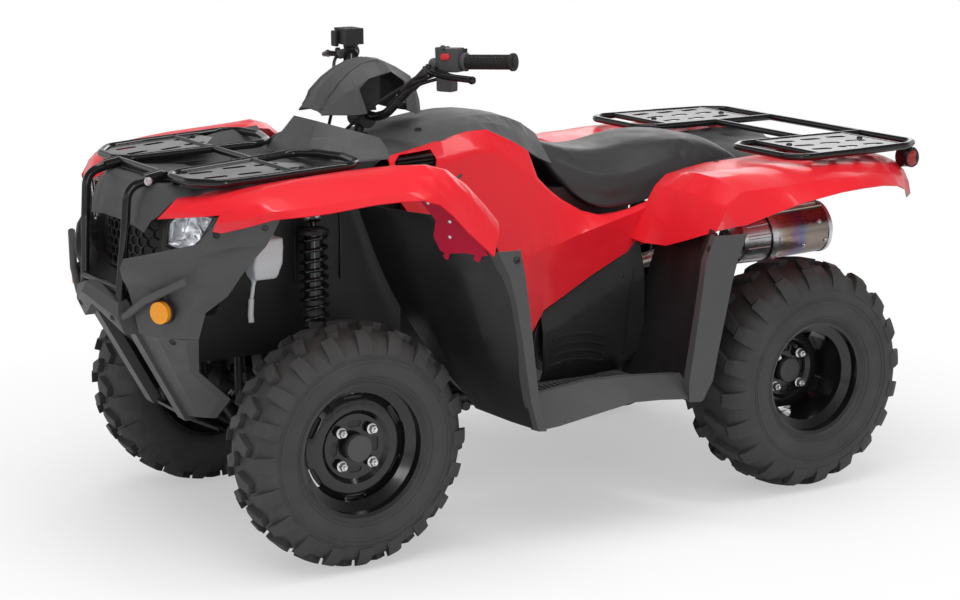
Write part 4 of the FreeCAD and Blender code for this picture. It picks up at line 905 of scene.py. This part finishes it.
@piece("controls", "red_plastic", "switch red", body="steering", mirrored=False)
def stop_switch(bm):
    lathe(bm, (0.261, -0.2628, 1.131), (0.47, -0.88, 0),
          [(0, 0), (0, 0.0085), (0.005, 0.0082), (0.0075, 0.0065), (0.0082, 0)], 28)
    lathe(bm, (0.2685, -0.2588, 1.1315), (0.47, -0.88, 0),
          [(0, 0), (0, 0.0082), (0.004, 0.0078), (0.006, 0.006), (0.0065, 0)], 28)


@piece("controls", "lever_metal", smooth=60, body="steering")
def lever_blades(bm, side):
    line = smooth_line(mirrored_points([
        (0.228, -0.286, 1.098), (0.262, -0.296, 1.0955), (0.308, -0.286, 1.09), (0.35, -0.258, 1.086),
        (0.362, -0.248, 1.085)], side))
    sweep(bm, line, 0.0068, 12)
    lathe(bm, line[-1], (side * 0.7, 0.6, 0),
          [(-0.01, 0), (-0.008, 0.006), (-0.004, 0.0088), (0, 0.0096), (0.004, 0.0088), (0.008, 0.006),
           (0.01, 0)], 20)
    fastener(bm, "hex", (side * 0.23, -0.288, 1.108), UP, 0.006)


@piece("controls", "black_plastic", smooth=60, body="steering")
def cable_sleeves(bm, side):
    for points in ([(0.226, -0.262, 1.076), (0.196, -0.292, 1.062), (0.16, -0.32, 1.036)],
                   [(0.236, -0.288, 1.092), (0.205, -0.312, 1.078), (0.172, -0.33, 1.046)]):
        sweep(bm, smooth_line(mirrored_points(points, side)), 0.0042, 10)
    for share in (0.35, 0.7):
        place = Vector((side * 0.195, -0.268, 1.098)).lerp(Vector((side * 0.105, -0.334, 0.985)), share)
        lathe(bm, place, (side * 0.09, 0.066, 0.113),
              [(-0.007, 0.0112), (-0.007, 0.0142), (0.007, 0.0142), (0.007, 0.0112)], 24)


@piece("controls", "grey_plastic", smooth=50, body="steering")
def cowl_ribs(bm, side):
    line = smooth_line(mirrored_points([(0.05, -0.484, 1.0), (0.046, -0.45, 1.052), (0.04, -0.41, 1.09),
                                        (0.034, -0.366, 1.108), (0.032, -0.31, 1.112)], side), 5)
    beside = Vector((side * 0.004, -0.004, 0.008))
    strip(bm, [on_surface("handlebar_cowl", point + beside) for point in line], 0.009, 0.0022)


@piece("controls", "lever_metal", "bright steel", body="steering")
def cowl_screws(bm, side):
    fastener(bm, "hex", (side * 0.03, -0.353, 1.029), (side, 0, 0), 0.008)


@piece("controls", "frame_steel", body="steering")
def cowl_bracket(bm, side):
    outline = [(0.024, -0.372, 0.985), (0.024, -0.318, 0.985), (0.024, -0.33, 1.05), (0.024, -0.362, 1.05)]
    prism(bm, mirrored_points(outline, side), (side * 0.004, 0, 0), 0.001)


# Bodywork

FLANGE = [(0.443, -0.434, 0.833), (0.463, -0.405, 0.787), (0.449, -0.403, 0.748), (0.453, -0.388, 0.715),
          (0.461, -0.38, 0.708), (0.455, -0.383, 0.704), (0.458, -0.378, 0.694), (0.464, -0.374, 0.694),
          (0.471, -0.373, 0.709), (0.502, -0.352, 0.713), (0.521, -0.336, 0.71), (0.515, -0.337, 0.699),
          (0.524, -0.329, 0.693), (0.53, -0.327, 0.7), (0.534, -0.326, 0.708), (0.547, -0.317, 0.712),
          (0.543, -0.325, 0.727), (0.525, -0.351, 0.765), (0.496, -0.386, 0.808), (0.465, -0.42, 0.843)]

SCREWS = {
    "black plastic": [
        ("front_side_covers", (0.374, -0.914, 0.786), "plug", 0.0085),
        ("front_side_covers", (0.438, -0.818, 0.802), "plug", 0.0075),
        ("nose_side_skirts", (0.236, -0.962, 0.522), "plug", 0.0085),
        ("rear_guards", (0.418, 0.346, 0.66), "plug", 0.007),
        ("guard_strips_rear", (0.566, 0.29, 0.668), "plug", 0.007),
        ("guard_strips_front", (0.584, -0.262, 0.7), "plug", 0.0085),
        ("tank_cover", (0.11, -0.25, 0.962), "plug", 0.01),
        ("rear_fenders", (0.225, 0.56, 0.85), "plug", 0.007)],
    "bright steel": [
        ("front_bumper", (0.152, -0.964, 0.881), "hex", 0.0075),
        ("footrests", (0.4, -0.15, 0.33), "hex", 0.007),
        ("footrests", (0.4, 0.2, 0.33), "hex", 0.007),
        ("skid_plate", (0.08, -0.3, 0.2), "pan", 0.008),
        ("skid_plate", (0.08, 0.2, 0.2), "pan", 0.008)],
    "satin black paint": [
        ("front_rack", (0.3, -0.66, 0.92), "pan", 0.007),
        ("front_rack", (0.15, -0.88, 0.91), "pan", 0.007),
        ("rear_rack", (0.3, 0.74, 0.87), "pan", 0.008),
        ("rear_rack", (0.3, 0.975, 0.87), "pan", 0.008),
        ("bumper_guard", (0.1, -1.06, 0.56), "pan", 0.007),
        ("engine_side_covers", (0.28, 0.24, 0.56), "pan", 0.006),
        ("engine_side_covers", (0.28, 0.06, 0.35), "pan", 0.006)],
}


def make_screws():
    """The screw heads of each finish, on both sides, as one piece."""
    for finish, rows in SCREWS.items():
        def heads(bm):
            for node, point, kind, radius in rows:
                for side in SIDES:
                    fastener(bm, kind, *on_surface(node, to_side(point, side)), radius)
        add_piece("screws_" + finish.replace(" ", "_"), "root", finish, heads)


@piece("bodywork", "red_plastic", "red in shade", 20)
def fender_flanges(bm, side):
    prism(bm, mirrored_points(FLANGE, side), (side * -0.0017, 0.0023, 0.0007))


@piece("bodywork", "lever_metal", "bright steel")
def flange_rivets(bm, side):
    for point in ((0.457, -0.422, 0.828), (0.489, -0.384, 0.786), (0.48, -0.379, 0.749)):
        fastener(bm, "rivet", to_side(point, side), (side * 0.58, -0.78, -0.25), 0.0042)


@piece("bodywork", "grey_plastic", mirrored=False)
def deck_lids(bm):
    for y0, y1, half in ((-0.925, -0.758, 0.122), (-0.672, -0.548, 0.112)):
        for inset, rise in ((0, 0), (0.018, 0.006)):
            outline = [(-half + inset, y0 + inset), (half - inset, y0 + inset),
                       (half - 0.016 - inset, y1 - inset), (-half + 0.016 + inset, y1 - inset)]
            spots = [(x, y, on_surface("nose_panel", (x, y, 0.95))[0].z + rise) for x, y in outline]
            prism(bm, spots, (0, 0, 0.007), 0.0028)


def double_sheet(bm, rows, offset):
    """Two skins of one sheet, an offset apart, so that it shows from both sides."""
    sheet_grid(bm, rows)
    sheet_grid(bm, [[Vector(point) + Vector(offset) for point in row] for row in rows])


# Dark liners with ribs inside the front fenders; the sheets are also painted shade for the dark space behind
# the front wheels.
@piece("bodywork", "black_plastic")
def inner_liners_and_shade(bm, side):
    rows = []
    for y, top in ((-0.87, 0.856), (-0.78, 0.862), (-0.7, 0.864), (-0.62, 0.864), (-0.54, 0.864),
                   (-0.452, 0.86), (-0.39, 0.82), (-0.335, 0.8)):
        bow = 0.006 * sin((y + 0.87) / 0.55 * pi)
        rows.append([(side * (x + bow), y, z) for x, z in ((0.164, 0.455), (0.168, 0.6), (0.172, 0.7),
                                                           (0.172, 0.79), (0.18, top))])
    double_sheet(bm, rows, (-side * 0.003, 0, 0))
    for y in (-0.78, -0.62, -0.5):
        block(bm, (side * 0.178, y, 0.73), UP, (0, 1, 0), (0.23, 0.01, 0.008), 0.002)


# Two dark sheets each side under the seat: painted shade that closes the gap beneath it.
@piece("bodywork", "black_plastic")
def shade_sheets_under_seat(bm, side):
    for x in (0.095, 0.125):
        sheet_grid(bm, [[(side * x, y, 0.64), (side * x, y, top)] for y, top in (
            (-0.08, 0.85), (0.02, 0.8), (0.12, 0.77), (0.24, 0.765), (0.36, 0.775))])


@piece("bodywork", "black_plastic", mirrored=False)
def shade_behind_grille(bm):
    """Dark sheets behind the grille, painted shade for the space there: its back, bowed as the grille is, its
    foot and its two sides.
    """
    across = (-0.29, -0.21, -0.11, 0, 0.11, 0.21, 0.29)
    double_sheet(bm, [[(x, y + 1.2 * x * x, z) for x in across] for z, y in (
        (0.59, -0.985), (0.64, -0.955), (0.7, -0.945), (0.78, -0.935), (0.842, -0.915))], (0, 0.004, 0))
    double_sheet(bm, [[(x, y + 0.8 * x * x, z) for x in (-0.15, -0.075, 0, 0.075, 0.15)] for y, z in (
        (-1.03, 0.632), (-1.012, 0.64), (-0.992, 0.652), (-0.968, 0.664))], (0, 0.002, -0.004))
    for side in SIDES:
        for x in (0.2095, 0.2065):
            sheet_grid(bm, [[(side * x, y, z) for y in (-0.93, -0.885, -0.84)] for z in (0.6, 0.7, 0.8)])


@piece("bodywork", "black_plastic", body="steering", mirrored=False)
def meter_housing(bm):
    half = 0.045
    side_view = ((-0.425, 1.0), (-0.315, 1.0), (-0.315, 1.085), (-0.366, 1.085), (-0.405, 1.068),
                 (-0.425, 1.042))
    prism(bm, [(-half, y, z) for y, z in side_view], (2 * half, 0, 0), 0.006)


@piece("bodywork", "grey_plastic", smooth=20)
def footrest_tread(bm, side):
    for row in range(3):
        for k in range(35):
            y = -0.18 + 0.012 * k + 0.006 * (row % 2)
            place, way = on_surface("footrests", (side * (0.495 + 0.006 * row), y, 0.4))
            block(bm, place + way * 0.0006, (side * 0.3, 1, 0), way, (0.0078, 0.0034, 0.0026), 0)
    for k in range(30):
        place, way = on_surface("footrests", (side * 0.38, -0.18 + 0.014 * k, 0.34))
        block(bm, place + way * 0.001, (1, 0, 0), way, (0.2, 0.005, 0.003), 0)


def cover_strip(bm, side, points, width, height):
    """A raised band laid over an engine side cover along a line beside it."""
    line = smooth_line(mirrored_points(points, side), 5)
    strip(bm, [on_surface("engine_side_covers", point) for point in line], width, height)


@piece("bodywork", "black_plastic")
def side_cover_ribs(bm, side):
    for k in range(4):
        z = 0.345 + 0.022 * k
        rise = ((0.03 + 0.004 * k, 0), (0.07, 0.01), (0.11, 0.012), (0.15, 0.008), (0.185, -0.004))
        cover_strip(bm, side, [(0.3, y, z + up) for y, up in rise], 0.006, 0.0028)
    cover_strip(bm, side, [(0.32, y, z) for y, z in (
        (0.262, 0.585), (0.252, 0.5), (0.244, 0.4), (0.24, 0.35))], 0.005, 0.0024)


@piece("bodywork", "grey_plastic")
def shroud_pads(bm, side):
    lathe(bm, *on_surface("column_shroud", (side * 0.165, -0.512, 0.936)),
          [(-0.004, 0), (-0.004, 0.027), (0.0016, 0.0265), (0.0024, 0.024), (0.0016, 0.0215),
           (0.0014, 0)], 40)
    place, way = on_surface("side_panels", (side * 0.23, -0.205, 0.836))
    block(bm, place, (0, 0.85, 0.52), way, (0.03, 0.007, 0.0016), 0.0006)


@piece("bodywork", "black_plastic", smooth=20)
def intake_slats(bm, side):
    for k in range(4):
        place = (side * 0.2, -0.31, 0.866 + 0.0085 * k)
        block(bm, place, (0, 1, 0.04), (side * 0.3, 0, 1), (0.1, 0.012, 0.0024), 0.0006)


# Exhaust and engine

MUFFLER = (Vector((0.236, 0.59, 0.604)), Vector((0.254, 0.89, 0.621)))
MUFFLER_WAY = (MUFFLER[1] - MUFFLER[0]).normalized()


def on_muffler(distance):
    return MUFFLER[0] + MUFFLER_WAY * distance


@piece("exhaust", "exhaust_steel", "bright steel", mirrored=False)
def muffler_bands(bm):
    lathe(bm, on_muffler(0.101), MUFFLER_WAY,
          [(0, 0.0695), (0, 0.0722), (0.016, 0.0722), (0.016, 0.0695)], 64)
    lathe(bm, on_muffler(0.28), MUFFLER_WAY, [(0, 0.0655), (0, 0.0682), (0.01, 0.0682), (0.012, 0.0655)], 64)
    lug = on_muffler(0.109) + Vector((0.05, 0, -0.056))
    block(bm, lug, (0.7, 0, 0.7), MUFFLER_WAY, (0.022, 0.012, 0.018), 0.002)


@piece("exhaust", "exhaust_steel", "bright steel", 50, mirrored=False)
def muffler_shield(bm):
    lathe(bm, on_muffler(0.022), MUFFLER_WAY,
          [(0, 0.056), (0, 0.0585), (0.004, 0.0605), (0.076, 0.0645), (0.078, 0.062)], 56)
    for k in range(12):
        angle = tau * k / 12 + 0.2
        off = Vector((cos(angle), 0, sin(angle)))
        spots = [(on_muffler(0.028 + 0.013 * j) + off * (0.0604 + 0.0007 * j), off) for j in range(6)]
        strip(bm, spots, 0.01, 0.0026)


@piece("exhaust", "exhaust_steel", mirrored=False)
def muffler_flange(bm):
    up = Vector((0.3, 0, 0.954))
    for rise, size in ((0.068, (0.152, 0.03, 0.006)), (0.0735, (0.12, 0.012, 0.008))):
        block(bm, on_muffler(0.2) + up * rise, MUFFLER_WAY, up, size, 0.002)


@piece("exhaust", "exhaust_steel", "bright steel", mirrored=False)
def muffler_screws(bm):
    for point in ((0.322, 0.711, 0.605), (0.32, 0.789, 0.577), (0.325, 0.835, 0.65), (0.322, 0.858, 0.59)):
        fastener(bm, "pan", *on_surface("muffler", point), 0.0062)
    fastener(bm, "hex", on_muffler(0.109) + Vector((0.06, 0, -0.062)), (0.7, 0, -0.3), 0.006)


@piece("engine", "engine_metal", smooth=30, mirrored=False)
def cylinder_fins(bm):
    for k in range(9):
        share = k / 8
        half, z = 0.092 - 0.006 * share, 0.515 + 0.165 * share
        y0, y1 = -0.134 - 0.045 * share, 0.074 - 0.06 * share
        prism(bm, [(-half, y0, z), (half, y0, z), (half, y1, z), (-half, y1, z)], (0, 0, 0.004), 0.0012)


@piece("engine", "engine_metal")
def case_covers(bm, side):
    out = Vector((side, 0, 0))
    for x, y, z, radius in ((0.172, -0.06, 0.4, 0.07), (0.178, 0.12, 0.39, 0.084)):
        place = Vector((side * x, y, z))
        profile = [(-0.002, 0), (-0.002, 1), (0.004, 1), (0.007, 0.94), (0.007, 0.72), (0.012, 0.64),
                   (0.013, 0)]
        lathe(bm, place, out, [(along, share * radius) for along, share in profile], 48)
        for k in range(7):
            angle = tau * k / 7 + 0.3
            spot = place + Vector((side * 0.005, 0.86 * radius * cos(angle), 0.86 * radius * sin(angle)))
            fastener(bm, "hex", spot, out, 0.0048)


@piece("engine", "grip_rubber", smooth=60)
def shaft_boots(bm, side):
    """Folded boots over the joints of the front drive shafts, wide end to narrow end and back."""
    for start, end, r0, r1 in ((0.06, 0.116, 0.0305, 0.019), (0.251, 0.297, 0.019, 0.0305)):
        for k in range(5):
            share = (k + 0.5) / 5
            radius = r0 + (r1 - r0) * share
            lathe(bm, (side * (start + (end - start) * share), FRONT_WHEEL.y, FRONT_WHEEL.z), (side, 0, 0),
                  [(-0.005, radius - 0.001), (-0.0024, radius + 0.0032), (0.0024, radius + 0.0032),
                   (0.005, radius - 0.001)])


def make_bottle():
    """The overflow bottle as a rounded skin in place of its solid."""
    bottle = remeshed(NODES["overflow_bottle"], "bottle", 0.004, 0.0)
    finish_skin(bottle, "root", "white bottle plastic")
    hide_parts("overflow_bottle")


@piece("bottle", "black_plastic", mirrored=False)
def bottle_cap(bm):
    lathe(bm, (0.238, -0.72, 0.76), UP, [(0, 0), (0, 0.0145), (0.01, 0.015), (0.014, 0.0135), (0.015, 0)], 28)


@piece("bottle", "bottle_white", smooth=60, mirrored=False)
def bottle_hose(bm):
    sweep(bm, smooth_line([(0.232, -0.7595, 0.604), (0.232, -0.761, 0.585), (0.236, -0.764, 0.566),
                           (0.243, -0.766, 0.552)]), 0.0066, 12)


# Stage

def area_light(name, place, aim, size, power, glossy=True):
    """A rectangular lamp that faces a height on the vehicle's middle line, with or without a highlight."""
    data = bpy.data.lights.new(name, "AREA")
    data.shape = "RECTANGLE"
    data.size, data.size_y = size
    data.energy = power
    lamp = add_object(name, data)
    lamp.location = place
    lamp.rotation_euler = (Vector((0, 0, aim)) - Vector(place)).to_track_quat("-Z", "Y").to_euler()
    lamp.visible_glossy = glossy


def studio_world():
    """White to the camera, a soft fill to rough surfaces, and pale walls under a dark sky to glossy ones."""
    world = bpy.data.worlds.new("studio")
    bpy.context.scene.world = world
    world.use_nodes = True
    tree = world.node_tree
    ray = add_node(tree, "ShaderNodeLightPath").outputs
    way = add_node(tree, "ShaderNodeTexCoord").outputs["Generated"]
    split = add_node(tree, "ShaderNodeSeparateXYZ", {0: way})
    walls = ranged(tree, split.outputs["Z"], 0.1, 0.55, 0.85, 0.1)
    strength = math_node(tree, "ADD", math_node(tree, "MULTIPLY", ray["Is Diffuse Ray"], 0.38),
                         math_node(tree, "MULTIPLY", ray["Is Glossy Ray"], walls))
    for title in ("Is Camera Ray", "Is Transmission Ray"):
        strength = math_node(tree, "MAXIMUM", strength, ray[title])
    feed(tree, tree.nodes["Background"], {"Color": (1, 1, 1, 1), "Strength": strength})


def make_floor():
    """A pale floor that takes the shadow near the vehicle and fades to plain white farther out."""
    def disc(bm):
        bmesh.ops.create_circle(bm, cap_ends=True, segments=96, radius=40.0)
    mesh = mesh_from("floor", disc)
    material, tree, shader = new_material(
        "floor", {"Roughness": 0.9, "Specular IOR Level": 0.1, "Base Color": (0.86, 0.86, 0.86, 1)})
    distance = add_node(tree, "ShaderNodeVectorMath", {0: object_place(tree)}, operation="LENGTH")
    far = ranged(tree, distance.outputs["Value"], 0.8, 2.0, 0.45, 1.0)
    seen = add_node(tree, "ShaderNodeLightPath").outputs["Is Camera Ray"]
    white = add_node(tree, "ShaderNodeEmission").outputs["Emission"]
    share = math_node(tree, "MULTIPLY", far, seen)
    mix = add_node(tree, "ShaderNodeMixShader", {"Fac": share, 1: shader.outputs["BSDF"], 2: white})
    feed(tree, tree.nodes["Material Output"], {"Surface": mix.outputs["Shader"]})
    mesh.materials.append(material)
    add_object("floor", mesh)


def make_camera(settings):
    """A camera with the photograph's place, turn and lens."""
    azimuth, height, roll = settings.azimuth, settings.elevation, settings.roll
    back = Vector((sin(azimuth) * cos(height), -cos(azimuth) * cos(height), sin(height)))
    right = Vector((cos(azimuth), sin(azimuth), 0))
    up = back.cross(right)
    data = bpy.data.cameras.new("photo camera")
    data.lens = settings.lens
    data.sensor_width = 36.0
    camera = add_object("photo camera", data)
    turn = Matrix((right * cos(roll) + up * sin(roll), up * cos(roll) - right * sin(roll), back)).transposed()
    place = Vector(settings.target) + back * settings.distance
    camera.matrix_world = Matrix.Translation(place) @ turn.to_4x4()
    bpy.context.scene.camera = camera


# Add-on classes

class StageSettings(bpy.types.PropertyGroup):
    azimuth: bpy.props.FloatProperty(
        name="Azimuth", description="Turn of the camera round the vehicle from straight ahead of it",
        default=radians(58.9921), subtype="ANGLE")
    elevation: bpy.props.FloatProperty(
        name="Elevation", description="Height of the camera above the level, as an angle",
        default=radians(12.1943), subtype="ANGLE")
    roll: bpy.props.FloatProperty(
        name="Roll", description="Turn of the camera about its own line of sight",
        default=radians(-0.1842), subtype="ANGLE")
    distance: bpy.props.FloatProperty(
        name="Distance", description="From the camera to the point that it looks at", default=5.6856,
        unit="LENGTH")
    target: bpy.props.FloatVectorProperty(
        name="Target", description="Point in the middle of the picture", default=(-0.0008, -0.01, 0.473),
        subtype="TRANSLATION")
    lens: bpy.props.FloatProperty(
        name="Lens", description="Focal length on a sensor 36 mm wide", default=83.44, unit="CAMERA")
    key_power: bpy.props.FloatProperty(
        name="Key light", description="Power of the large overhead lamp", default=104.0, unit="POWER")
    strip_power: bpy.props.FloatProperty(
        name="Strips", description="Power of the narrow lamps that draw the highlights", default=34.0,
        unit="POWER")
    fill_power: bpy.props.FloatProperty(
        name="Side lights", description="Power of the lamps at the side, in front and behind", default=36.0,
        unit="POWER")


class FinishSettings(bpy.types.PropertyGroup):
    red: bpy.props.FloatVectorProperty(
        name="Bodywork", description="Colour of the painted plastic panels", default=(0.7, 0.012, 0.022),
        subtype="COLOR", min=0.0, max=1.0)
    grey: bpy.props.FloatVectorProperty(
        name="Trim", description="Colour of the unpainted plastic", default=(0.054, 0.054, 0.056),
        subtype="COLOR", min=0.0, max=1.0)
    dust: bpy.props.FloatProperty(
        name="Dust", description="How much dust lies on the surfaces", default=0.05, min=0.0, max=1.0,
        subtype="FACTOR")


class SaddleSettings(bpy.types.PropertyGroup):
    shrink: bpy.props.FloatProperty(
        name="Draw in", description="How far the skin is drawn in before it is blown up", default=0.008,
        unit="LENGTH")
    pressure: bpy.props.FloatProperty(name="Pressure", description="Pressure that fills the pad", default=4.0)
    cap: bpy.props.FloatProperty(
        name="Reach", description="How far any point may go as the pad fills", default=0.01, unit="LENGTH")


class QUAD_OT_finishes(bpy.types.Operator):
    """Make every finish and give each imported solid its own"""
    bl_idname = "quad.finishes"
    bl_label = "Finishes"

    def execute(self, context):
        make_materials(context.scene.quad_finish)
        finish_nodes()
        return {"FINISHED"}


class QUAD_OT_saddle(bpy.types.Operator):
    """Pad the saddle in place of its firm solid"""
    bl_idname = "quad.saddle"
    bl_label = "Saddle"

    def execute(self, context):
        make_saddle(context.scene.quad_saddle)
        return {"FINISHED"}


class QUAD_OT_suspension(bpy.types.Operator):
    """Wind the springs and fit their seats and bolts"""
    bl_idname = "quad.suspension"
    bl_label = "Suspension"

    def execute(self, context):
        make_group("suspension")
        return {"FINISHED"}


class QUAD_OT_wheels(bpy.types.Operator):
    """Fit wheel nuts, hub caps, drums, valves and sidewall rings"""
    bl_idname = "quad.wheels"
    bl_label = "Wheels"

    def execute(self, context):
        make_wheels()
        return {"FINISHED"}


class QUAD_OT_lamps(bpy.types.Operator):
    """Fit the headlights' insides and seals, the tail lamps' lenses and rings and the reflectors' holders"""
    bl_idname = "quad.lamps"
    bl_label = "Lamps"

    def execute(self, context):
        make_group("lamps")
        return {"FINISHED"}


class QUAD_OT_controls(bpy.types.Operator):
    """Dress the handlebar and its cowl with grips, switches, levers and ribs"""
    bl_idname = "quad.controls"
    bl_label = "Controls"

    def execute(self, context):
        make_group("controls")
        return {"FINISHED"}


class QUAD_OT_bodywork(bpy.types.Operator):
    """Add screws, flanges, lids, liners and treads to the bodywork"""
    bl_idname = "quad.bodywork"
    bl_label = "Bodywork"

    def execute(self, context):
        make_screws()
        make_group("bodywork")
        return {"FINISHED"}


class QUAD_OT_exhaust(bpy.types.Operator):
    """Fit the silencer's bands, shield, flange and screws"""
    bl_idname = "quad.exhaust"
    bl_label = "Exhaust"

    def execute(self, context):
        make_group("exhaust")
        return {"FINISHED"}


class QUAD_OT_engine(bpy.types.Operator):
    """Add fins, covers and boots round the engine, and the overflow bottle"""
    bl_idname = "quad.engine"
    bl_label = "Engine"

    def execute(self, context):
        make_group("engine")
        make_bottle()
        make_group("bottle")
        return {"FINISHED"}


class QUAD_OT_stage(bpy.types.Operator):
    """Set up the floor, the soft lights, the pale surroundings and the camera"""
    bl_idname = "quad.stage"
    bl_label = "Stage"

    def execute(self, context):
        settings = context.scene.quad_stage
        make_floor()
        studio_world()
        make_camera(settings)
        area_light("key", (1.0, -1.2, 4.0), 0.4, (4.0, 4.0), settings.key_power, glossy=False)
        area_light("overhead strip", (0.3, 0.2, 3.4), 0.5, (0.35, 4.0), settings.strip_power)
        area_light("side", (4.6, 1.6, 2.2), 0.5, (2.5, 2.5), settings.fill_power, glossy=False)
        area_light("side strip", (4.2, -1.8, 1.9), 0.5, (0.4, 2.2), 0.5 * settings.strip_power)
        area_light("front", (1.2, -5.0, 1.8), 0.5, (2.5, 2.0), settings.fill_power, glossy=False)
        area_light("rear", (-3.5, 3.5, 2.6), 0.6, (3.0, 2.0), settings.fill_power)
        context.scene.view_settings.view_transform = "Standard"
        return {"FINISHED"}


class QUAD_PT_pieces(bpy.types.Panel):
    """Lists the pieces of the quad bike's dressing"""
    bl_idname = "QUAD_PT_pieces"
    bl_label = "Quad bike"
    bl_space_type = "VIEW_3D"
    bl_region_type = "UI"
    bl_category = "Quad bike"

    def draw(self, context):
        for operator in OPERATORS:
            self.layout.operator(operator.bl_idname)


SETTINGS = {"quad_stage": StageSettings, "quad_finish": FinishSettings, "quad_saddle": SaddleSettings}
OPERATORS = (
    QUAD_OT_finishes, QUAD_OT_saddle, QUAD_OT_suspension, QUAD_OT_wheels, QUAD_OT_lamps, QUAD_OT_controls,
    QUAD_OT_bodywork, QUAD_OT_exhaust, QUAD_OT_engine, QUAD_OT_stage)


def register():
    for kind in (*SETTINGS.values(), *OPERATORS, QUAD_PT_pieces):
        bpy.utils.register_class(kind)
    for name, kind in SETTINGS.items():
        setattr(bpy.types.Scene, name, bpy.props.PointerProperty(type=kind))


def unregister():
    for name in SETTINGS:
        delattr(bpy.types.Scene, name)
    for kind in (QUAD_PT_pieces, *reversed(OPERATORS), *SETTINGS.values()):
        bpy.utils.unregister_class(kind)


def main():
    register()
    for operator in OPERATORS:
        group, name = operator.bl_idname.split(".")
        getattr(getattr(bpy.ops, group), name)()


if __name__ == "__main__":
    main()
